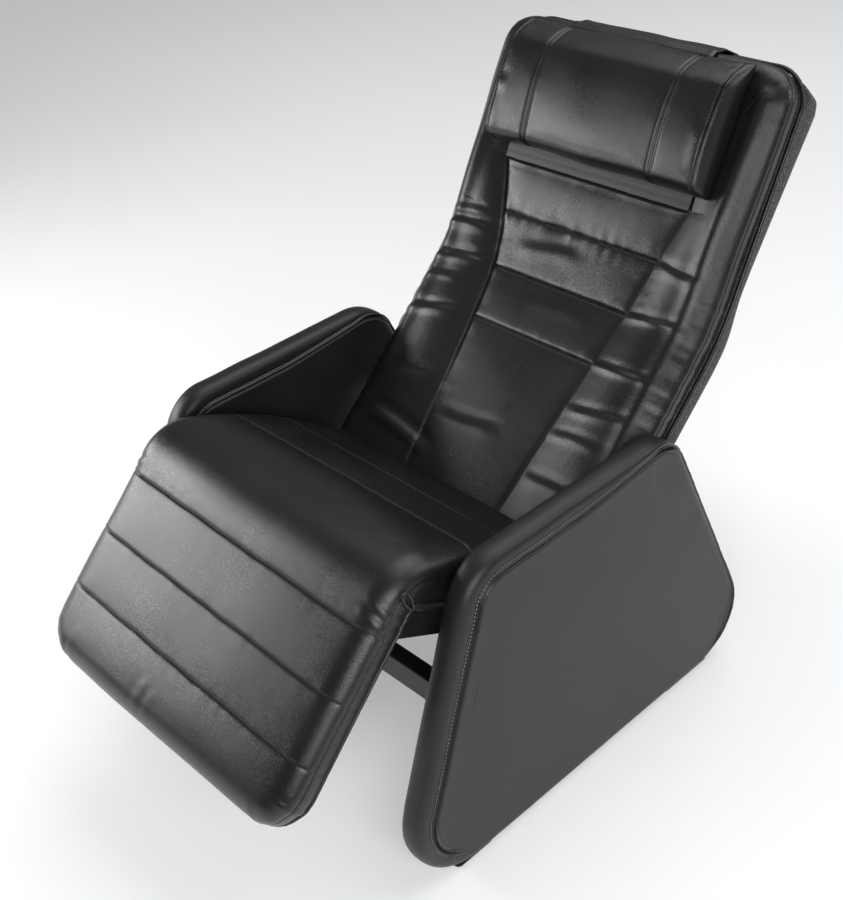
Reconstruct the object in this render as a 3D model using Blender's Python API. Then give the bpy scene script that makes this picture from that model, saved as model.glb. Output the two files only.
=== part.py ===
"""A padded zero gravity recliner with tactile sound drivers under its pads.

Metres, +Z up. +X is the sitter's left and -Y is the front. The chair stands partly
tilted back, its legrest at 45 degrees. Side view points are (y, z) pairs, and depths
are measured into the chair from the faces of the seat, legrest and back pads.
"""

import math

import bmesh
import bpy
from mathutils import Matrix, Vector

# Clearances
GAP = 0.0003
RUNNING_GAP = 0.0005
SWING_GAP = 0.002

# Arm panels: a board inside a padded cover that is open underneath
WIDTH = 0.740
ARM_THICKNESS = 0.046
ARM_TOP = 0.578
ARM_TOP_FRONT = -0.240
ARM_TOP_REAR = 0.221
ARM_BASE_FRONT = -0.442
ARM_BASE_REAR = 0.490
ARM_RADIUS_BASE_FRONT = 0.130
ARM_RADIUS_BASE_REAR = 0.107
ARM_RADIUS_TOP_REAR = 0.100
ARM_RADIUS_TOP_FRONT = 0.090
ARM_EDGE_ROLL = 0.016
ARM_PADDING = 0.014
ARM_BOARD = 0.018
FOOT_HEIGHT = 0.005
FOOT_WIDTH = 0.030
FOOT_CORNER = 0.010
FOOT_EASE = 0.002
FRONT_FOOT_LENGTH = 0.084
FRONT_FOOT_MIDDLE = -0.262
REAR_FOOT_LENGTH = 0.130
REAR_FOOT_MIDDLE = 0.292

# Seat, legrest and back faces in side view
PIVOT_Y = 0.0
PIVOT_Z = 0.314
CREASE_BEHIND_PIVOT = 0.0274
SEAT_SLOPE = math.radians(28.0)
SEAT_LENGTH = 0.429
LEG_SLOPE = math.radians(45.0)
LEG_LENGTH = 0.423
KNEE_RADIUS = 0.085
BACK_LOWER_SLOPE = math.radians(43.0)
BACK_LOWER_LENGTH = 0.414
BACK_UPPER_SLOPE = math.radians(61.0)
BACK_UPPER_LENGTH = 0.431
BACK_BEND_RADIUS = 0.350

# Pads
SEAT_PAD = 0.065
SEAT_SIDE_GAP = 0.014
SEAT_CROWN = 0.024
SIDE_ROLL = 0.040
EDGE_SHARE = 0.70
LEG_END_ROLL = 0.050
LEG_END_SHARE = 0.30
LEG_CORNER = 0.075
LEG_SEAMS = (0.097, 0.203, 0.305)
SEAT_SEAMS = (0.158, 0.278)
SEAM_DEPTH = 0.004
SEAM_SPREAD = 0.014
LOBE_PUFF = 0.002
PAD_WAIST = 0.003
PAD_COLUMN_SHARES = (0.66, 0.33)
PAD_BASE_INSET = 0.006
BACK_PAD = 0.055
BACK_SIDE_GAP = 0.017
BACK_PAD_TAIL = 0.058
BACK_CORNER = 0.060
BACK_SEAMS = (0.295, 0.395, 0.495)
BACK_BAND = (0.590, 0.615)
BACK_PANEL_TOP_HALF_WIDTH = 0.204
BACK_PANEL_BASE_HALF_WIDTH = 0.114
BOLSTER_PUFF = 0.012
WELT_DIAMETER = 0.008

# Head pillow and the flap that carries it
PILLOW_SIDE_MARGIN = 0.075
PILLOW_START = 0.622
PILLOW_LENGTH = 0.214
PILLOW_THICKNESS = 0.058
PILLOW_ROLL = 0.052
PILLOW_EDGE_SHARE = 0.35
PILLOW_WAIST = 0.005
PILLOW_STANDOFF = 0.009
PILLOW_SEAM_SHARE = 0.60
FLAP_SIDE_MARGIN = 0.082
FLAP_THICKNESS = 0.003
FLAP_CLEARANCE = 0.004
FLAP_SHOULDER = 0.028
FLAP_TAIL = 0.110
FLAP_LEAN = 0.003
FLAP_BENDS = (0.008, 0.012, 0.020)

# Decks, frame tubes and the rear cover
DECK = 0.012
BACK_DECK = 0.010
DECK_MARGIN = 0.020
LEG_DECK_MARGIN = 0.030
RAIL_WIDTH = 0.020
SEAT_RAIL_HEIGHT = 0.040
LEG_RAIL_HEIGHT = 0.034
BACK_RAIL_HEIGHT = 0.025
RAIL_WALL = 0.002
SEAT_RAIL_SIDE_GAP = 0.034
LEG_RAIL_INSET = 0.045
RAIL_SIDE_GAP = 0.004
BACK_RAIL_LENGTH = 0.790
CROSS_TUBE = 0.022
TORQUE_TUBE = 0.032
TORQUE_BORE = 0.024
LEG_TUBE_FROM_END = 0.109
BACK_MID_TUBE_AT = 0.430
BACK_TOP_TUBE_AT = 0.740
LEG_PANEL = 0.005
COVER_WALL = 0.003
COVER_BOTTOM = 0.110
COVER_LOWER_DEPTH = 0.118
COVER_WAIST_DEPTH = 0.101
COVER_UPPER_DEPTH = 0.135
COVER_STEP = 0.060
COVER_CHAMFER = 0.046
COVER_EDGE = 0.012
APRON_RADIUS = 0.058
APRON_THICKNESS = 0.003
APRON_SWEEP = math.radians(62.0)

# Base rails, pivots and hinge pins
RAIL_TUBE_DEEP = 0.030
RAIL_TUBE_TALL = 0.050
TUBE_CORNER = 0.004
FLANGE_SIDE = 0.084
FLANGE_CORNER = 0.012
FLANGE_THICKNESS = 0.005
FRONT_RAIL_Y = -0.212
FRONT_RAIL_Z = 0.255
REAR_RAIL_Y = 0.345
REAR_RAIL_Z = 0.170
BRACKET_THICKNESS = 0.005
BRACKET_FOOT_RADIUS = 0.020
BRACKET_REACH = 0.072
STUB_DIAMETER = 0.016
STUB_COLLAR = 0.024
BUSH_WALL = 0.003
BUSH_FLANGE = 0.003
HINGE_PIN = 0.012
HINGE_PIN_HEAD = 0.020
HINGE_PIN_HEAD_HEIGHT = 0.004

# Linear actuators
LEVER_X = 0.090
TILT_LEVER = 0.090
TILT_LEVER_ANGLE = math.radians(-120.0)
TILT_TAIL_FORWARD = 0.070
TILT_TAIL_DROP = 0.030
BACK_LEVER = 0.100
BACK_LEVER_ANGLE = math.radians(-90.0)
BACK_TAIL_REACH = 0.090
BACK_TAIL_ANGLE = math.radians(-46.0)
EAR_THICKNESS = 0.005
EAR_RADIUS = 0.014
EYE_WIDTH = 0.020
EYE_RADIUS = 0.015
CLEVIS_PIN = 0.010
CLEVIS_PIN_HEAD = 0.016
CLEVIS_PIN_HEAD_HEIGHT = 0.004
ROD_EYE_HOLE = 0.018
CASE_LENGTH = 0.055
CASE_HALF_HEIGHT = 0.026
CASE_CORNER = 0.010
CASE_EDGE = 0.006
ACTUATOR_TUBE = 0.032
ACTUATOR_BORE = 0.021
ROD = 0.020
MOTOR = 0.042
MOTOR_LENGTH = 0.100
ROD_SHOWING = 0.075

# Sound drivers and electronics
DRIVER_FLANGE = 0.124
DRIVER_FLANGE_THICKNESS = 0.004
DRIVER_BODY = 0.096
DRIVER_DEPTH = 0.032
SEAT_DRIVER_AT = -0.190
LEG_DRIVER_CLEARANCE = 0.006
BACK_DRIVERS_AT = (0.255, 0.620)
AMPLIFIER_WIDTH = 0.220
AMPLIFIER_DEPTH = 0.078
AMPLIFIER_HEIGHT = 0.085
AMPLIFIER_PANEL = 0.003
AMPLIFIER_PANEL_MARGIN = 0.005
SOCKET_DEPTH = 0.012
INLET_X = -0.070
INLET_WIDTH = 0.028
INLET_HEIGHT = 0.020
JACK_DIAMETER = 0.010
JACKS_X = (-0.020, 0.010, 0.040, 0.070)
SWITCH_WALL = 0.006
BEZEL_LIP = 0.008
BEZEL_EDGE = 0.0015
BEZEL_THICKNESS = 0.004
BEZEL_DEPTH = 0.011
BEZEL_Y = -0.150
BEZEL_Z = 0.455
ROCKER_LENGTH = 0.036
ROCKER_HEIGHT = 0.024
ROCKER_PITCH = 0.044
ROCKER_RISE = 0.003

# Where the overall box is centred, so that the chair stands about the origin
ORIGIN_Y = -0.050

ARC_STEPS = 6
ROW_SPACING = 0.003
ROUND_SIDES = 20
PIN_SIDES = 12


def heading(angle):
    """A unit side view direction, measured from +Y towards +Z."""
    return Vector((math.cos(angle), math.sin(angle)))


def left_of(direction):
    return Vector((-direction.y, direction.x))


def meeting_point(first, first_way, second, second_way):
    """Where two side view lines cross."""
    apart = second - first
    across = first_way.cross(second_way)
    return first + first_way * (apart.cross(second_way) / across)


class SidePath:
    """An open side view path of straight runs and arcs, measured by length."""

    def __init__(self, corners, radii):
        self.pieces = []
        self.arrivals = {}
        self.departures = {}
        start = corners[0]
        length = 0.0
        for index in range(1, len(corners)):
            corner = corners[index]
            way = (corner - corners[index - 1]).normalized()
            turn = 0.0
            if index < len(corners) - 1:
                next_way = (corners[index + 1] - corner).normalized()
                turn = math.atan2(way.cross(next_way), way.dot(next_way))
            radius = radii[index - 1] if turn else 0.0
            trim = radius * math.tan(abs(turn) / 2)
            run = (corner - start).length - trim
            self.pieces.append((length, start, way, 0.0))
            length += run
            start = start + way * run
            self.arrivals[index] = length + trim
            if turn:
                self.pieces.append((length, start, way, math.copysign(1 / radius, turn)))
                length += radius * abs(turn)
                start = corner + next_way * trim
                self.departures[index] = length - trim
        self.length = length

    def at(self, length):
        """The point at a length along the path, and the unit normal to its left."""
        here = self.pieces[0]
        for piece in self.pieces:
            if piece[0] <= length:
                here = piece
        begin, start, way, bend = here
        along = length - begin
        if not bend:
            return start + way * along, left_of(way)
        turned = bend * along
        side = left_of(way)
        point = start + way * (math.sin(turned) / bend) + side * ((1 - math.cos(turned)) / bend)
        return point, left_of(way * math.cos(turned) + side * math.sin(turned))

    def into(self, length, depth):
        """A point at a depth under the path."""
        point, normal = self.at(length)
        return point - normal * depth

    def before(self, corner, distance):
        return self.arrivals[corner] - distance

    def after(self, corner, distance):
        return self.departures[corner] + distance


def rounded_outline(corners, radii):
    """A closed side view outline with each corner replaced by an arc."""
    points = []
    for index, corner in enumerate(corners):
        arrive = (corner - corners[index - 1]).normalized()
        leave = (corners[(index + 1) % len(corners)] - corner).normalized()
        turn = math.atan2(arrive.cross(leave), arrive.dot(leave))
        radius = radii[index]
        start = corner - arrive * (radius * math.tan(abs(turn) / 2))
        centre = start + left_of(arrive) * math.copysign(radius, turn)
        for step in range(ARC_STEPS + 1):
            swing = Matrix.Rotation(turn * step / ARC_STEPS, 2)
            points.append(centre + swing @ (start - centre))
    return points


def inset_corners(corners, insets):
    """The corners of an outline whose edges, in turn, are moved inwards."""
    lines = []
    for index, corner in enumerate(corners):
        way = (corners[(index + 1) % len(corners)] - corner).normalized()
        lines.append((corner + left_of(way) * insets[index], way))
    return [
        meeting_point(*lines[index - 1], *lines[index])
        for index in range(len(corners))
    ]


def circle(centre, radius, sides):
    return [
        centre + heading(2 * math.pi * step / sides) * radius
        for step in range(sides)
    ]


def rounded_box_outline(centre, length, height, radius):
    half = Vector((length / 2, height / 2))
    corners = [
        centre + Vector((half.x * y_side, half.y * z_side))
        for y_side, z_side in ((-1, -1), (1, -1), (1, 1), (-1, 1))
    ]
    return rounded_outline(corners, (radius,) * 4)


def link_outline(first, first_radius, second, second_radius):
    """The outline of a plate with a round end at each of two points."""
    way = (second - first).normalized()
    base = math.atan2(way.y, way.x)
    lean = math.acos((first_radius - second_radius) / (second - first).length)
    points = []
    for step in range(ARC_STEPS * 2 + 1):
        angle = base + lean + (2 * math.pi - 2 * lean) * step / (ARC_STEPS * 2)
        points.append(first + heading(angle) * first_radius)
    for step in range(ARC_STEPS * 2 + 1):
        angle = base - lean + 2 * lean * step / (ARC_STEPS * 2)
        points.append(second + heading(angle) * second_radius)
    return points


def prism(outline, low, high):
    """A side view outline carried along X."""
    shape = bmesh.new()
    near = [shape.verts.new((low, y, z)) for y, z in outline]
    far = [shape.verts.new((high, y, z)) for y, z in outline]
    shape.faces.new(near)
    shape.faces.new(far[::-1])
    for index in range(len(outline)):
        shape.faces.new((near[index - 1], near[index], far[index], far[index - 1]))
    return shape


def rod_along_x(centre, diameter, low, high, sides=ROUND_SIDES):
    return prism(circle(centre, diameter / 2, sides), low, high)


def turned(profile, sides=ROUND_SIDES):
    """A profile of (radius, height) points turned about Z, closed by flat ends."""
    shape = bmesh.new()
    rings = []
    for radius, height in profile:
        ring = [
            shape.verts.new((*(heading(2 * math.pi * step / sides) * radius), height))
            for step in range(sides)
        ]
        rings.append(ring)
    shape.faces.new(rings[0])
    shape.faces.new(rings[-1][::-1])
    for lower, upper in zip(rings, rings[1:]):
        for step in range(sides):
            shape.faces.new((lower[step - 1], lower[step], upper[step], upper[step - 1]))
    return shape


def placed(shape, matrix):
    bmesh.ops.transform(shape, matrix=matrix, verts=shape.verts)
    return shape


def combined(*shapes):
    """Shapes that stay apart, as one mesh."""
    whole = bmesh.new()
    for shape in shapes:
        copied = bpy.data.meshes.new("combined")
        bmesh.ops.recalc_face_normals(shape, faces=shape.faces)
        shape.to_mesh(copied)
        shape.free()
        whole.from_mesh(copied)
        bpy.data.meshes.remove(copied)
    return whole


def rounded_edges(shape, chosen, radius, steps):
    edges = [edge for edge in shape.edges if chosen(edge)]
    bmesh.ops.bevel(
        shape, geom=edges, offset=radius, segments=steps, profile=0.5, affect="EDGES"
    )
    return shape


def across_x(edge):
    """True for an edge that lies in one side view plane."""
    return abs(edge.verts[0].co.x - edge.verts[1].co.x) < GAP


def surface(name, colour, roughness, metallic=0.0):
    made = bpy.data.materials.new(name)
    made.use_nodes = True
    shader = made.node_tree.nodes["Principled BSDF"]
    shader.inputs["Base Color"].default_value = (*colour, 1.0)
    shader.inputs["Roughness"].default_value = roughness
    shader.inputs["Metallic"].default_value = metallic
    return made


def pivot(name, place, parent=None):
    """An empty on a joint's axis. place is (x, y, z) in the chair's own frame."""
    empty = bpy.data.objects.new(name, None)
    bpy.context.scene.collection.objects.link(empty)
    empty["place"] = place
    empty.parent = parent
    base = Vector(parent["place"]) if parent else Vector((0.0, -ORIGIN_Y, 0.0))
    empty.location = Vector(place) - base
    return empty


def mesh_object(name, shape, parent):
    bmesh.ops.recalc_face_normals(shape, faces=shape.faces)
    bmesh.ops.translate(shape, verts=shape.verts, vec=-Vector(parent["place"]))
    mesh = bpy.data.meshes.new(name)
    shape.to_mesh(mesh)
    shape.free()
    mesh.shade_smooth()
    mesh.set_sharp_from_angle(angle=math.radians(40))
    made = bpy.data.objects.new(name, mesh)
    bpy.context.scene.collection.objects.link(made)
    made.parent = parent
    return made


def add_boolean(target, name, shape, parent, operation):
    helper = mesh_object(name, shape, parent)
    helper.hide_render = True
    helper.display_type = "WIRE"
    step = target.modifiers.new(name, "BOOLEAN")
    step.operation = operation
    step.object = helper


def piece(name, shape, look, parent, joins=(), cuts=()):
    """One solid of the chair, with the shapes that are joined to it and cut from it."""
    made = mesh_object(name, shape, parent)
    made.data.materials.append(look)
    for index, extra in enumerate(joins):
        add_boolean(made, f"{name}_join_{index}", extra, parent, "UNION")
    for index, cutter in enumerate(cuts):
        add_boolean(made, f"{name}_cut_{index}", cutter, parent, "DIFFERENCE")
    return made


def both_sides():
    return (("left", 1), ("right", -1))


def span(side, inside, outside):
    """A range of X on one side of the chair."""
    return sorted((side * inside, side * outside))


# Side view of the pads' faces
PIVOT = Vector((PIVOT_Y, PIVOT_Z))
SEAT_WAY = heading(-SEAT_SLOPE)
SEAT_UP = left_of(SEAT_WAY)
LEG_WAY = heading(LEG_SLOPE)
LEG_UP = left_of(LEG_WAY)
BACK_WAY = heading(BACK_LOWER_SLOPE)
BACK_FRONT = left_of(BACK_WAY)
DECK_UNDERSIDE = SEAT_PAD + DECK + 2 * GAP
SEAT_RAIL_DEPTH = DECK_UNDERSIDE + SEAT_RAIL_HEIGHT / 2
LEG_RAIL_DEPTH = DECK_UNDERSIDE + LEG_RAIL_HEIGHT / 2
BACK_RAIL_DEPTH = BACK_PAD + BACK_DECK + 2 * GAP + BACK_RAIL_HEIGHT / 2
CREASE = PIVOT + SEAT_UP * SEAT_RAIL_DEPTH + SEAT_WAY * CREASE_BEHIND_PIVOT
KNEE = CREASE - SEAT_WAY * SEAT_LENGTH
LEG_END = KNEE - LEG_WAY * LEG_LENGTH
BACK_BEND = CREASE + BACK_WAY * BACK_LOWER_LENGTH
BACK_TOP = BACK_BEND + heading(BACK_UPPER_SLOPE) * BACK_UPPER_LENGTH
SEAT_PATH = SidePath((LEG_END, KNEE, CREASE), (KNEE_RADIUS,))
BACK_PATH = SidePath((CREASE, BACK_BEND, BACK_TOP), (BACK_BEND_RADIUS,))
HINGE = meeting_point(
    CREASE - SEAT_UP * SEAT_RAIL_DEPTH,
    SEAT_WAY,
    CREASE - BACK_FRONT * BACK_RAIL_DEPTH,
    BACK_WAY,
)

# Widths and places that follow from the sizes above
ARM_INSIDE = WIDTH / 2 - ARM_THICKNESS
SEAT_PAD_HALF_WIDTH = ARM_INSIDE - SEAT_SIDE_GAP
BACK_PAD_HALF_WIDTH = ARM_INSIDE - BACK_SIDE_GAP
PILLOW_HALF_WIDTH = BACK_PAD_HALF_WIDTH - PILLOW_SIDE_MARGIN
PILLOW_SEAM = PILLOW_HALF_WIDTH * PILLOW_SEAM_SHARE
FLAP_HALF_WIDTH = PILLOW_HALF_WIDTH - FLAP_SIDE_MARGIN
SEAT_RAIL_OUTSIDE = ARM_INSIDE - SEAT_RAIL_SIDE_GAP
LEG_RAIL_OUTSIDE = SEAT_RAIL_OUTSIDE - LEG_RAIL_INSET
LEG_RAIL_INSIDE = LEG_RAIL_OUTSIDE - RAIL_WIDTH
SWITCH_BOX_LENGTH = ROCKER_PITCH + ROCKER_LENGTH + 2 * SWITCH_WALL
SWITCH_BOX_HEIGHT = ROCKER_HEIGHT + 2 * SWITCH_WALL
SEAT_RAIL_INSIDE = SEAT_RAIL_OUTSIDE - RAIL_WIDTH
BACK_RAIL_OUTSIDE = SEAT_RAIL_INSIDE - RAIL_SIDE_GAP
BACK_RAIL_INSIDE = BACK_RAIL_OUTSIDE - RAIL_WIDTH
BACK_BASE_HALF_WIDTH = BACK_PAD_HALF_WIDTH - PAD_BASE_INSET
BACK_DECK_HALF_WIDTH = BACK_BASE_HALF_WIDTH - COVER_WALL - DECK_MARGIN / 2
BACK_LENGTH = BACK_PATH.length
TILT_LEVER_END = PIVOT + heading(TILT_LEVER_ANGLE) * TILT_LEVER
TILT_TAIL = Vector((REAR_RAIL_Y - TILT_TAIL_FORWARD, REAR_RAIL_Z - TILT_TAIL_DROP))
BACK_LEVER_END = HINGE + heading(BACK_LEVER_ANGLE) * BACK_LEVER
KNEE_TUBE = meeting_point(
    KNEE - SEAT_UP * SEAT_RAIL_DEPTH,
    SEAT_WAY,
    KNEE - LEG_UP * SEAT_RAIL_DEPTH,
    LEG_WAY,
)
BACK_TAIL = KNEE_TUBE + heading(BACK_TAIL_ANGLE) * BACK_TAIL_REACH


def on_leg(distance, depth):
    """A point on the legrest, at a distance from the knee and a depth under its face."""
    return KNEE - LEG_WAY * distance - LEG_UP * depth


def on_seat(distance, depth):
    """A point on the seat, at a distance behind the crease and a depth under its face."""
    return CREASE + SEAT_WAY * distance - SEAT_UP * depth


def arm_corners():
    """The arm's outline before rounding. Its sloping ends run on down to the floor."""
    lift = FOOT_HEIGHT / ARM_TOP
    front = ARM_BASE_FRONT + (ARM_TOP_FRONT - ARM_BASE_FRONT) * lift
    rear = ARM_BASE_REAR + (ARM_TOP_REAR - ARM_BASE_REAR) * lift
    return [
        Vector((front, FOOT_HEIGHT)),
        Vector((rear, FOOT_HEIGHT)),
        Vector((ARM_TOP_REAR, ARM_TOP)),
        Vector((ARM_TOP_FRONT, ARM_TOP)),
    ]


def arm_outline(inset, base_inset):
    """The arm's side outline, moved in all round and, by its own amount, at the base."""
    corners = inset_corners(arm_corners(), (base_inset, inset, inset, inset))
    radii = (
        ARM_RADIUS_BASE_FRONT - inset,
        ARM_RADIUS_BASE_REAR - inset,
        ARM_RADIUS_TOP_REAR - inset,
        ARM_RADIUS_TOP_FRONT - inset,
    )
    return rounded_outline(corners, radii)


def switch_cutter(depth, clearance):
    """The pocket for the switch box, in the outer face of the sitter's right arm."""
    outline = rounded_box_outline(
        Vector((BEZEL_Y, BEZEL_Z)),
        SWITCH_BOX_LENGTH + 2 * clearance,
        SWITCH_BOX_HEIGHT + 2 * clearance,
        TUBE_CORNER,
    )
    face = -WIDTH / 2
    return prism(outline, face - BEZEL_THICKNESS, face + depth)


def build_arms(root, looks):
    board_half = ARM_BOARD / 2
    middle = WIDTH / 2 - ARM_THICKNESS / 2
    for name, side in both_sides():
        cover = prism(arm_outline(0.0, 0.0), *span(side, ARM_INSIDE, WIDTH / 2))
        rounded_edges(cover, across_x, ARM_EDGE_ROLL, 3)
        pocket_span = span(side, middle - board_half - GAP, middle + board_half + GAP)
        cuts = [prism(arm_outline(ARM_PADDING - GAP, -SWING_GAP), *pocket_span)]
        if side < 0:
            cuts.append(switch_cutter(BEZEL_DEPTH + 2 * GAP, GAP))
        piece(f"arm_cover_{name}", cover, looks["leather"], root, cuts=cuts)
        board_span = span(side, middle - board_half, middle + board_half)
        board = prism(arm_outline(ARM_PADDING, 0.0), *board_span)
        piece(f"arm_board_{name}", board, looks["plywood"], root)
        feet = (
            ("front", FRONT_FOOT_MIDDLE, FRONT_FOOT_LENGTH),
            ("rear", REAR_FOOT_MIDDLE, REAR_FOOT_LENGTH),
        )
        for place, foot_y, length in feet:
            build_foot(f"foot_{place}_{name}", side * middle, foot_y, length, root, looks)


def build_foot(name, foot_x, foot_y, length, root, looks):
    """A glide under an arm board, its lower edges eased."""
    height = FOOT_HEIGHT - GAP
    centre = Vector((foot_x, foot_y))
    outline = rounded_box_outline(centre, FOOT_WIDTH, length, FOOT_CORNER)
    foot = bmesh.new()
    rings = []
    for level, inset in ((0.0, FOOT_EASE), (FOOT_EASE, 0.0), (height, 0.0)):
        scale = Vector((1 - 2 * inset / FOOT_WIDTH, 1 - 2 * inset / length))
        ring = [
            foot.verts.new((*(centre + (point - centre) * scale), level))
            for point in outline
        ]
        rings.append(ring)
    foot.faces.new(rings[0])
    foot.faces.new(rings[-1][::-1])
    for lower, upper in zip(rings, rings[1:]):
        for step in range(len(outline)):
            foot.faces.new((lower[step - 1], lower[step], upper[step], upper[step - 1]))
    piece(name, foot, looks["rubber"], root)


def base_rail(name, centre, root, looks, joins=(), holes=()):
    """A rectangular tube between the arms, with a bolting flange on each end."""
    reach = ARM_INSIDE - GAP
    tube = prism(
        rounded_box_outline(centre, RAIL_TUBE_DEEP, RAIL_TUBE_TALL, TUBE_CORNER),
        -reach + FLANGE_THICKNESS / 2,
        reach - FLANGE_THICKNESS / 2,
    )
    flange = rounded_box_outline(centre, FLANGE_SIDE, FLANGE_SIDE, FLANGE_CORNER)
    flanges = [
        prism(flange, *span(side, reach - FLANGE_THICKNESS, reach))
        for _, side in both_sides()
    ]
    bore = prism(
        rounded_box_outline(
            centre,
            RAIL_TUBE_DEEP - 2 * RAIL_WALL,
            RAIL_TUBE_TALL - 2 * RAIL_WALL,
            TUBE_CORNER / 2,
        ),
        -WIDTH / 2,
        WIDTH / 2,
    )
    piece(
        name,
        tube,
        looks["steel"],
        root,
        joins=[combined(*flanges), *joins],
        cuts=[bore, *holes],
    )


def ear_pair(outline, middle):
    """Two plates beside an actuator's eye."""
    inner = EYE_WIDTH / 2 + SWING_GAP
    plates = [
        prism(outline, *span(side, inner, inner + EAR_THICKNESS))
        for _, side in both_sides()
    ]
    return placed(combined(*plates), Matrix.Translation((middle, 0, 0)))


def clevis_hole(centre, middle):
    reach = EYE_WIDTH
    diameter = CLEVIS_PIN + 2 * GAP
    return rod_along_x(centre, diameter, middle - reach, middle + reach, PIN_SIDES)


def clevis_pin(name, centre, middle, parent, looks):
    """A headed pin through a pair of ears."""
    outer = EYE_WIDTH / 2 + SWING_GAP + EAR_THICKNESS
    head = CLEVIS_PIN_HEAD_HEIGHT
    shank = rod_along_x(
        centre, CLEVIS_PIN, middle - outer - head, middle + outer + head / 2, PIN_SIDES
    )
    cap = rod_along_x(
        centre,
        CLEVIS_PIN_HEAD,
        middle + outer + GAP,
        middle + outer + head,
        PIN_SIDES,
    )
    piece(name, shank, looks["bright_steel"], parent, joins=[cap])


def build_base(root, looks):
    base_rail("front_cross_rail", Vector((FRONT_RAIL_Y, FRONT_RAIL_Z)), root, looks)
    rear = Vector((REAR_RAIL_Y, REAR_RAIL_Z))
    ears = ear_pair(
        link_outline(TILT_TAIL, EAR_RADIUS, rear, RAIL_TUBE_DEEP / 3), -LEVER_X
    )
    base_rail(
        "rear_cross_rail",
        rear,
        root,
        looks,
        joins=[ears],
        holes=[clevis_hole(TILT_TAIL, -LEVER_X)],
    )
    clevis_pin("tilt_tail_pin", TILT_TAIL, -LEVER_X, root, looks)
    for name, side in both_sides():
        build_pivot_bracket(f"pivot_bracket_{name}", side, root, looks)
    build_amplifier(root, looks)


def build_pivot_bracket(name, side, root, looks):
    """A three cornered plate on the arm, with the stub axle that the seat turns on."""
    outer = ARM_INSIDE - GAP
    inner = outer - BRACKET_THICKNESS
    corners = [
        PIVOT + heading(math.radians(angle)) * BRACKET_REACH
        for angle in (-90.0, 30.0, 150.0)
    ]
    outline = rounded_outline(corners, (BRACKET_FOOT_RADIUS,) * 3)
    plate = prism(outline, *span(side, inner, outer))
    collar_end = SEAT_RAIL_OUTSIDE + BUSH_FLANGE + SWING_GAP
    seated = inner + BRACKET_THICKNESS / 2
    collar = rod_along_x(PIVOT, STUB_COLLAR, *span(side, collar_end, seated))
    stub_end = SEAT_RAIL_INSIDE - RAIL_WIDTH / 4
    stub = rod_along_x(PIVOT, STUB_DIAMETER, *span(side, stub_end, inner))
    piece(name, plate, looks["steel"], root, joins=[collar, stub])


def build_amplifier(root, looks):
    """The amplifier under the rear rail, its sockets in a plate on the rear face."""
    top = REAR_RAIL_Z - RAIL_TUBE_TALL / 2 - GAP
    front = REAR_RAIL_Y - RAIL_TUBE_DEEP / 2
    half = AMPLIFIER_WIDTH / 2
    rear = front + AMPLIFIER_DEPTH
    centre = Vector(((front + rear) / 2, top - AMPLIFIER_HEIGHT / 2))
    case = prism(
        rounded_box_outline(centre, AMPLIFIER_DEPTH, AMPLIFIER_HEIGHT, TUBE_CORNER), -half, half
    )
    middle = centre.y
    plate_rear = rear + GAP + AMPLIFIER_PANEL
    sockets = socket_cutters(rear - SOCKET_DEPTH, plate_rear + GAP, middle)
    piece("amplifier_case", case, looks["black_metal"], root, cuts=[sockets])
    margin = AMPLIFIER_PANEL_MARGIN
    panel = prism(
        rounded_box_outline(
            Vector((rear + GAP + AMPLIFIER_PANEL / 2, middle)),
            AMPLIFIER_PANEL,
            AMPLIFIER_HEIGHT - 2 * margin,
            AMPLIFIER_PANEL / 4,
        ),
        -half + margin,
        half - margin,
    )
    holes = socket_cutters(rear - SOCKET_DEPTH, plate_rear + GAP, middle)
    piece("amplifier_panel", panel, looks["steel"], root, cuts=[holes])


def socket_cutters(front, rear, middle):
    """A power inlet opening and four round signal jacks, running along Y."""
    inlet_outline = rounded_box_outline(
        Vector((INLET_X, middle)), INLET_WIDTH, INLET_HEIGHT, TUBE_CORNER
    )
    inlet = prism(inlet_outline, front, rear)
    jacks = [
        prism(circle(Vector((jack_x, middle)), JACK_DIAMETER / 2, PIN_SIDES), front, rear)
        for jack_x in JACKS_X
    ]
    turn = Matrix(((0, 1, 0, 0), (1, 0, 0, 0), (0, 0, 1, 0), (0, 0, 0, 1)))
    return placed(combined(inlet, *jacks), turn)


def build_switch(root, pivots, looks):
    """Two spring rockers in a bezel on the outer face of the sitter's right arm."""
    face = -WIDTH / 2 - GAP
    centre = Vector((BEZEL_Y, BEZEL_Z))
    outline = rounded_box_outline(
        centre,
        SWITCH_BOX_LENGTH + 2 * BEZEL_LIP,
        SWITCH_BOX_HEIGHT + 2 * BEZEL_LIP,
        FLANGE_CORNER,
    )
    plate = prism(outline, face - BEZEL_THICKNESS, face)
    rounded_edges(
        plate,
        lambda edge: all(vert.co.x < face - BEZEL_THICKNESS / 2 for vert in edge.verts),
        BEZEL_EDGE,
        2,
    )
    box = switch_cutter(BEZEL_DEPTH, -GAP)
    windows = []
    for step in (-1, 1):
        window_centre = centre + Vector((step * ROCKER_PITCH / 2, 0))
        window = rounded_box_outline(
            window_centre,
            ROCKER_LENGTH + 2 * RUNNING_GAP,
            ROCKER_HEIGHT + 2 * RUNNING_GAP,
            TUBE_CORNER / 2,
        )
        windows.append(prism(window, face - 2 * BEZEL_THICKNESS, face + 2 * BEZEL_DEPTH))
    piece("switch_bezel", plate, looks["plastic"], root, joins=[box], cuts=[combined(*windows)])
    for name, empty in pivots:
        build_rocker(name, empty, face, looks)


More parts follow.
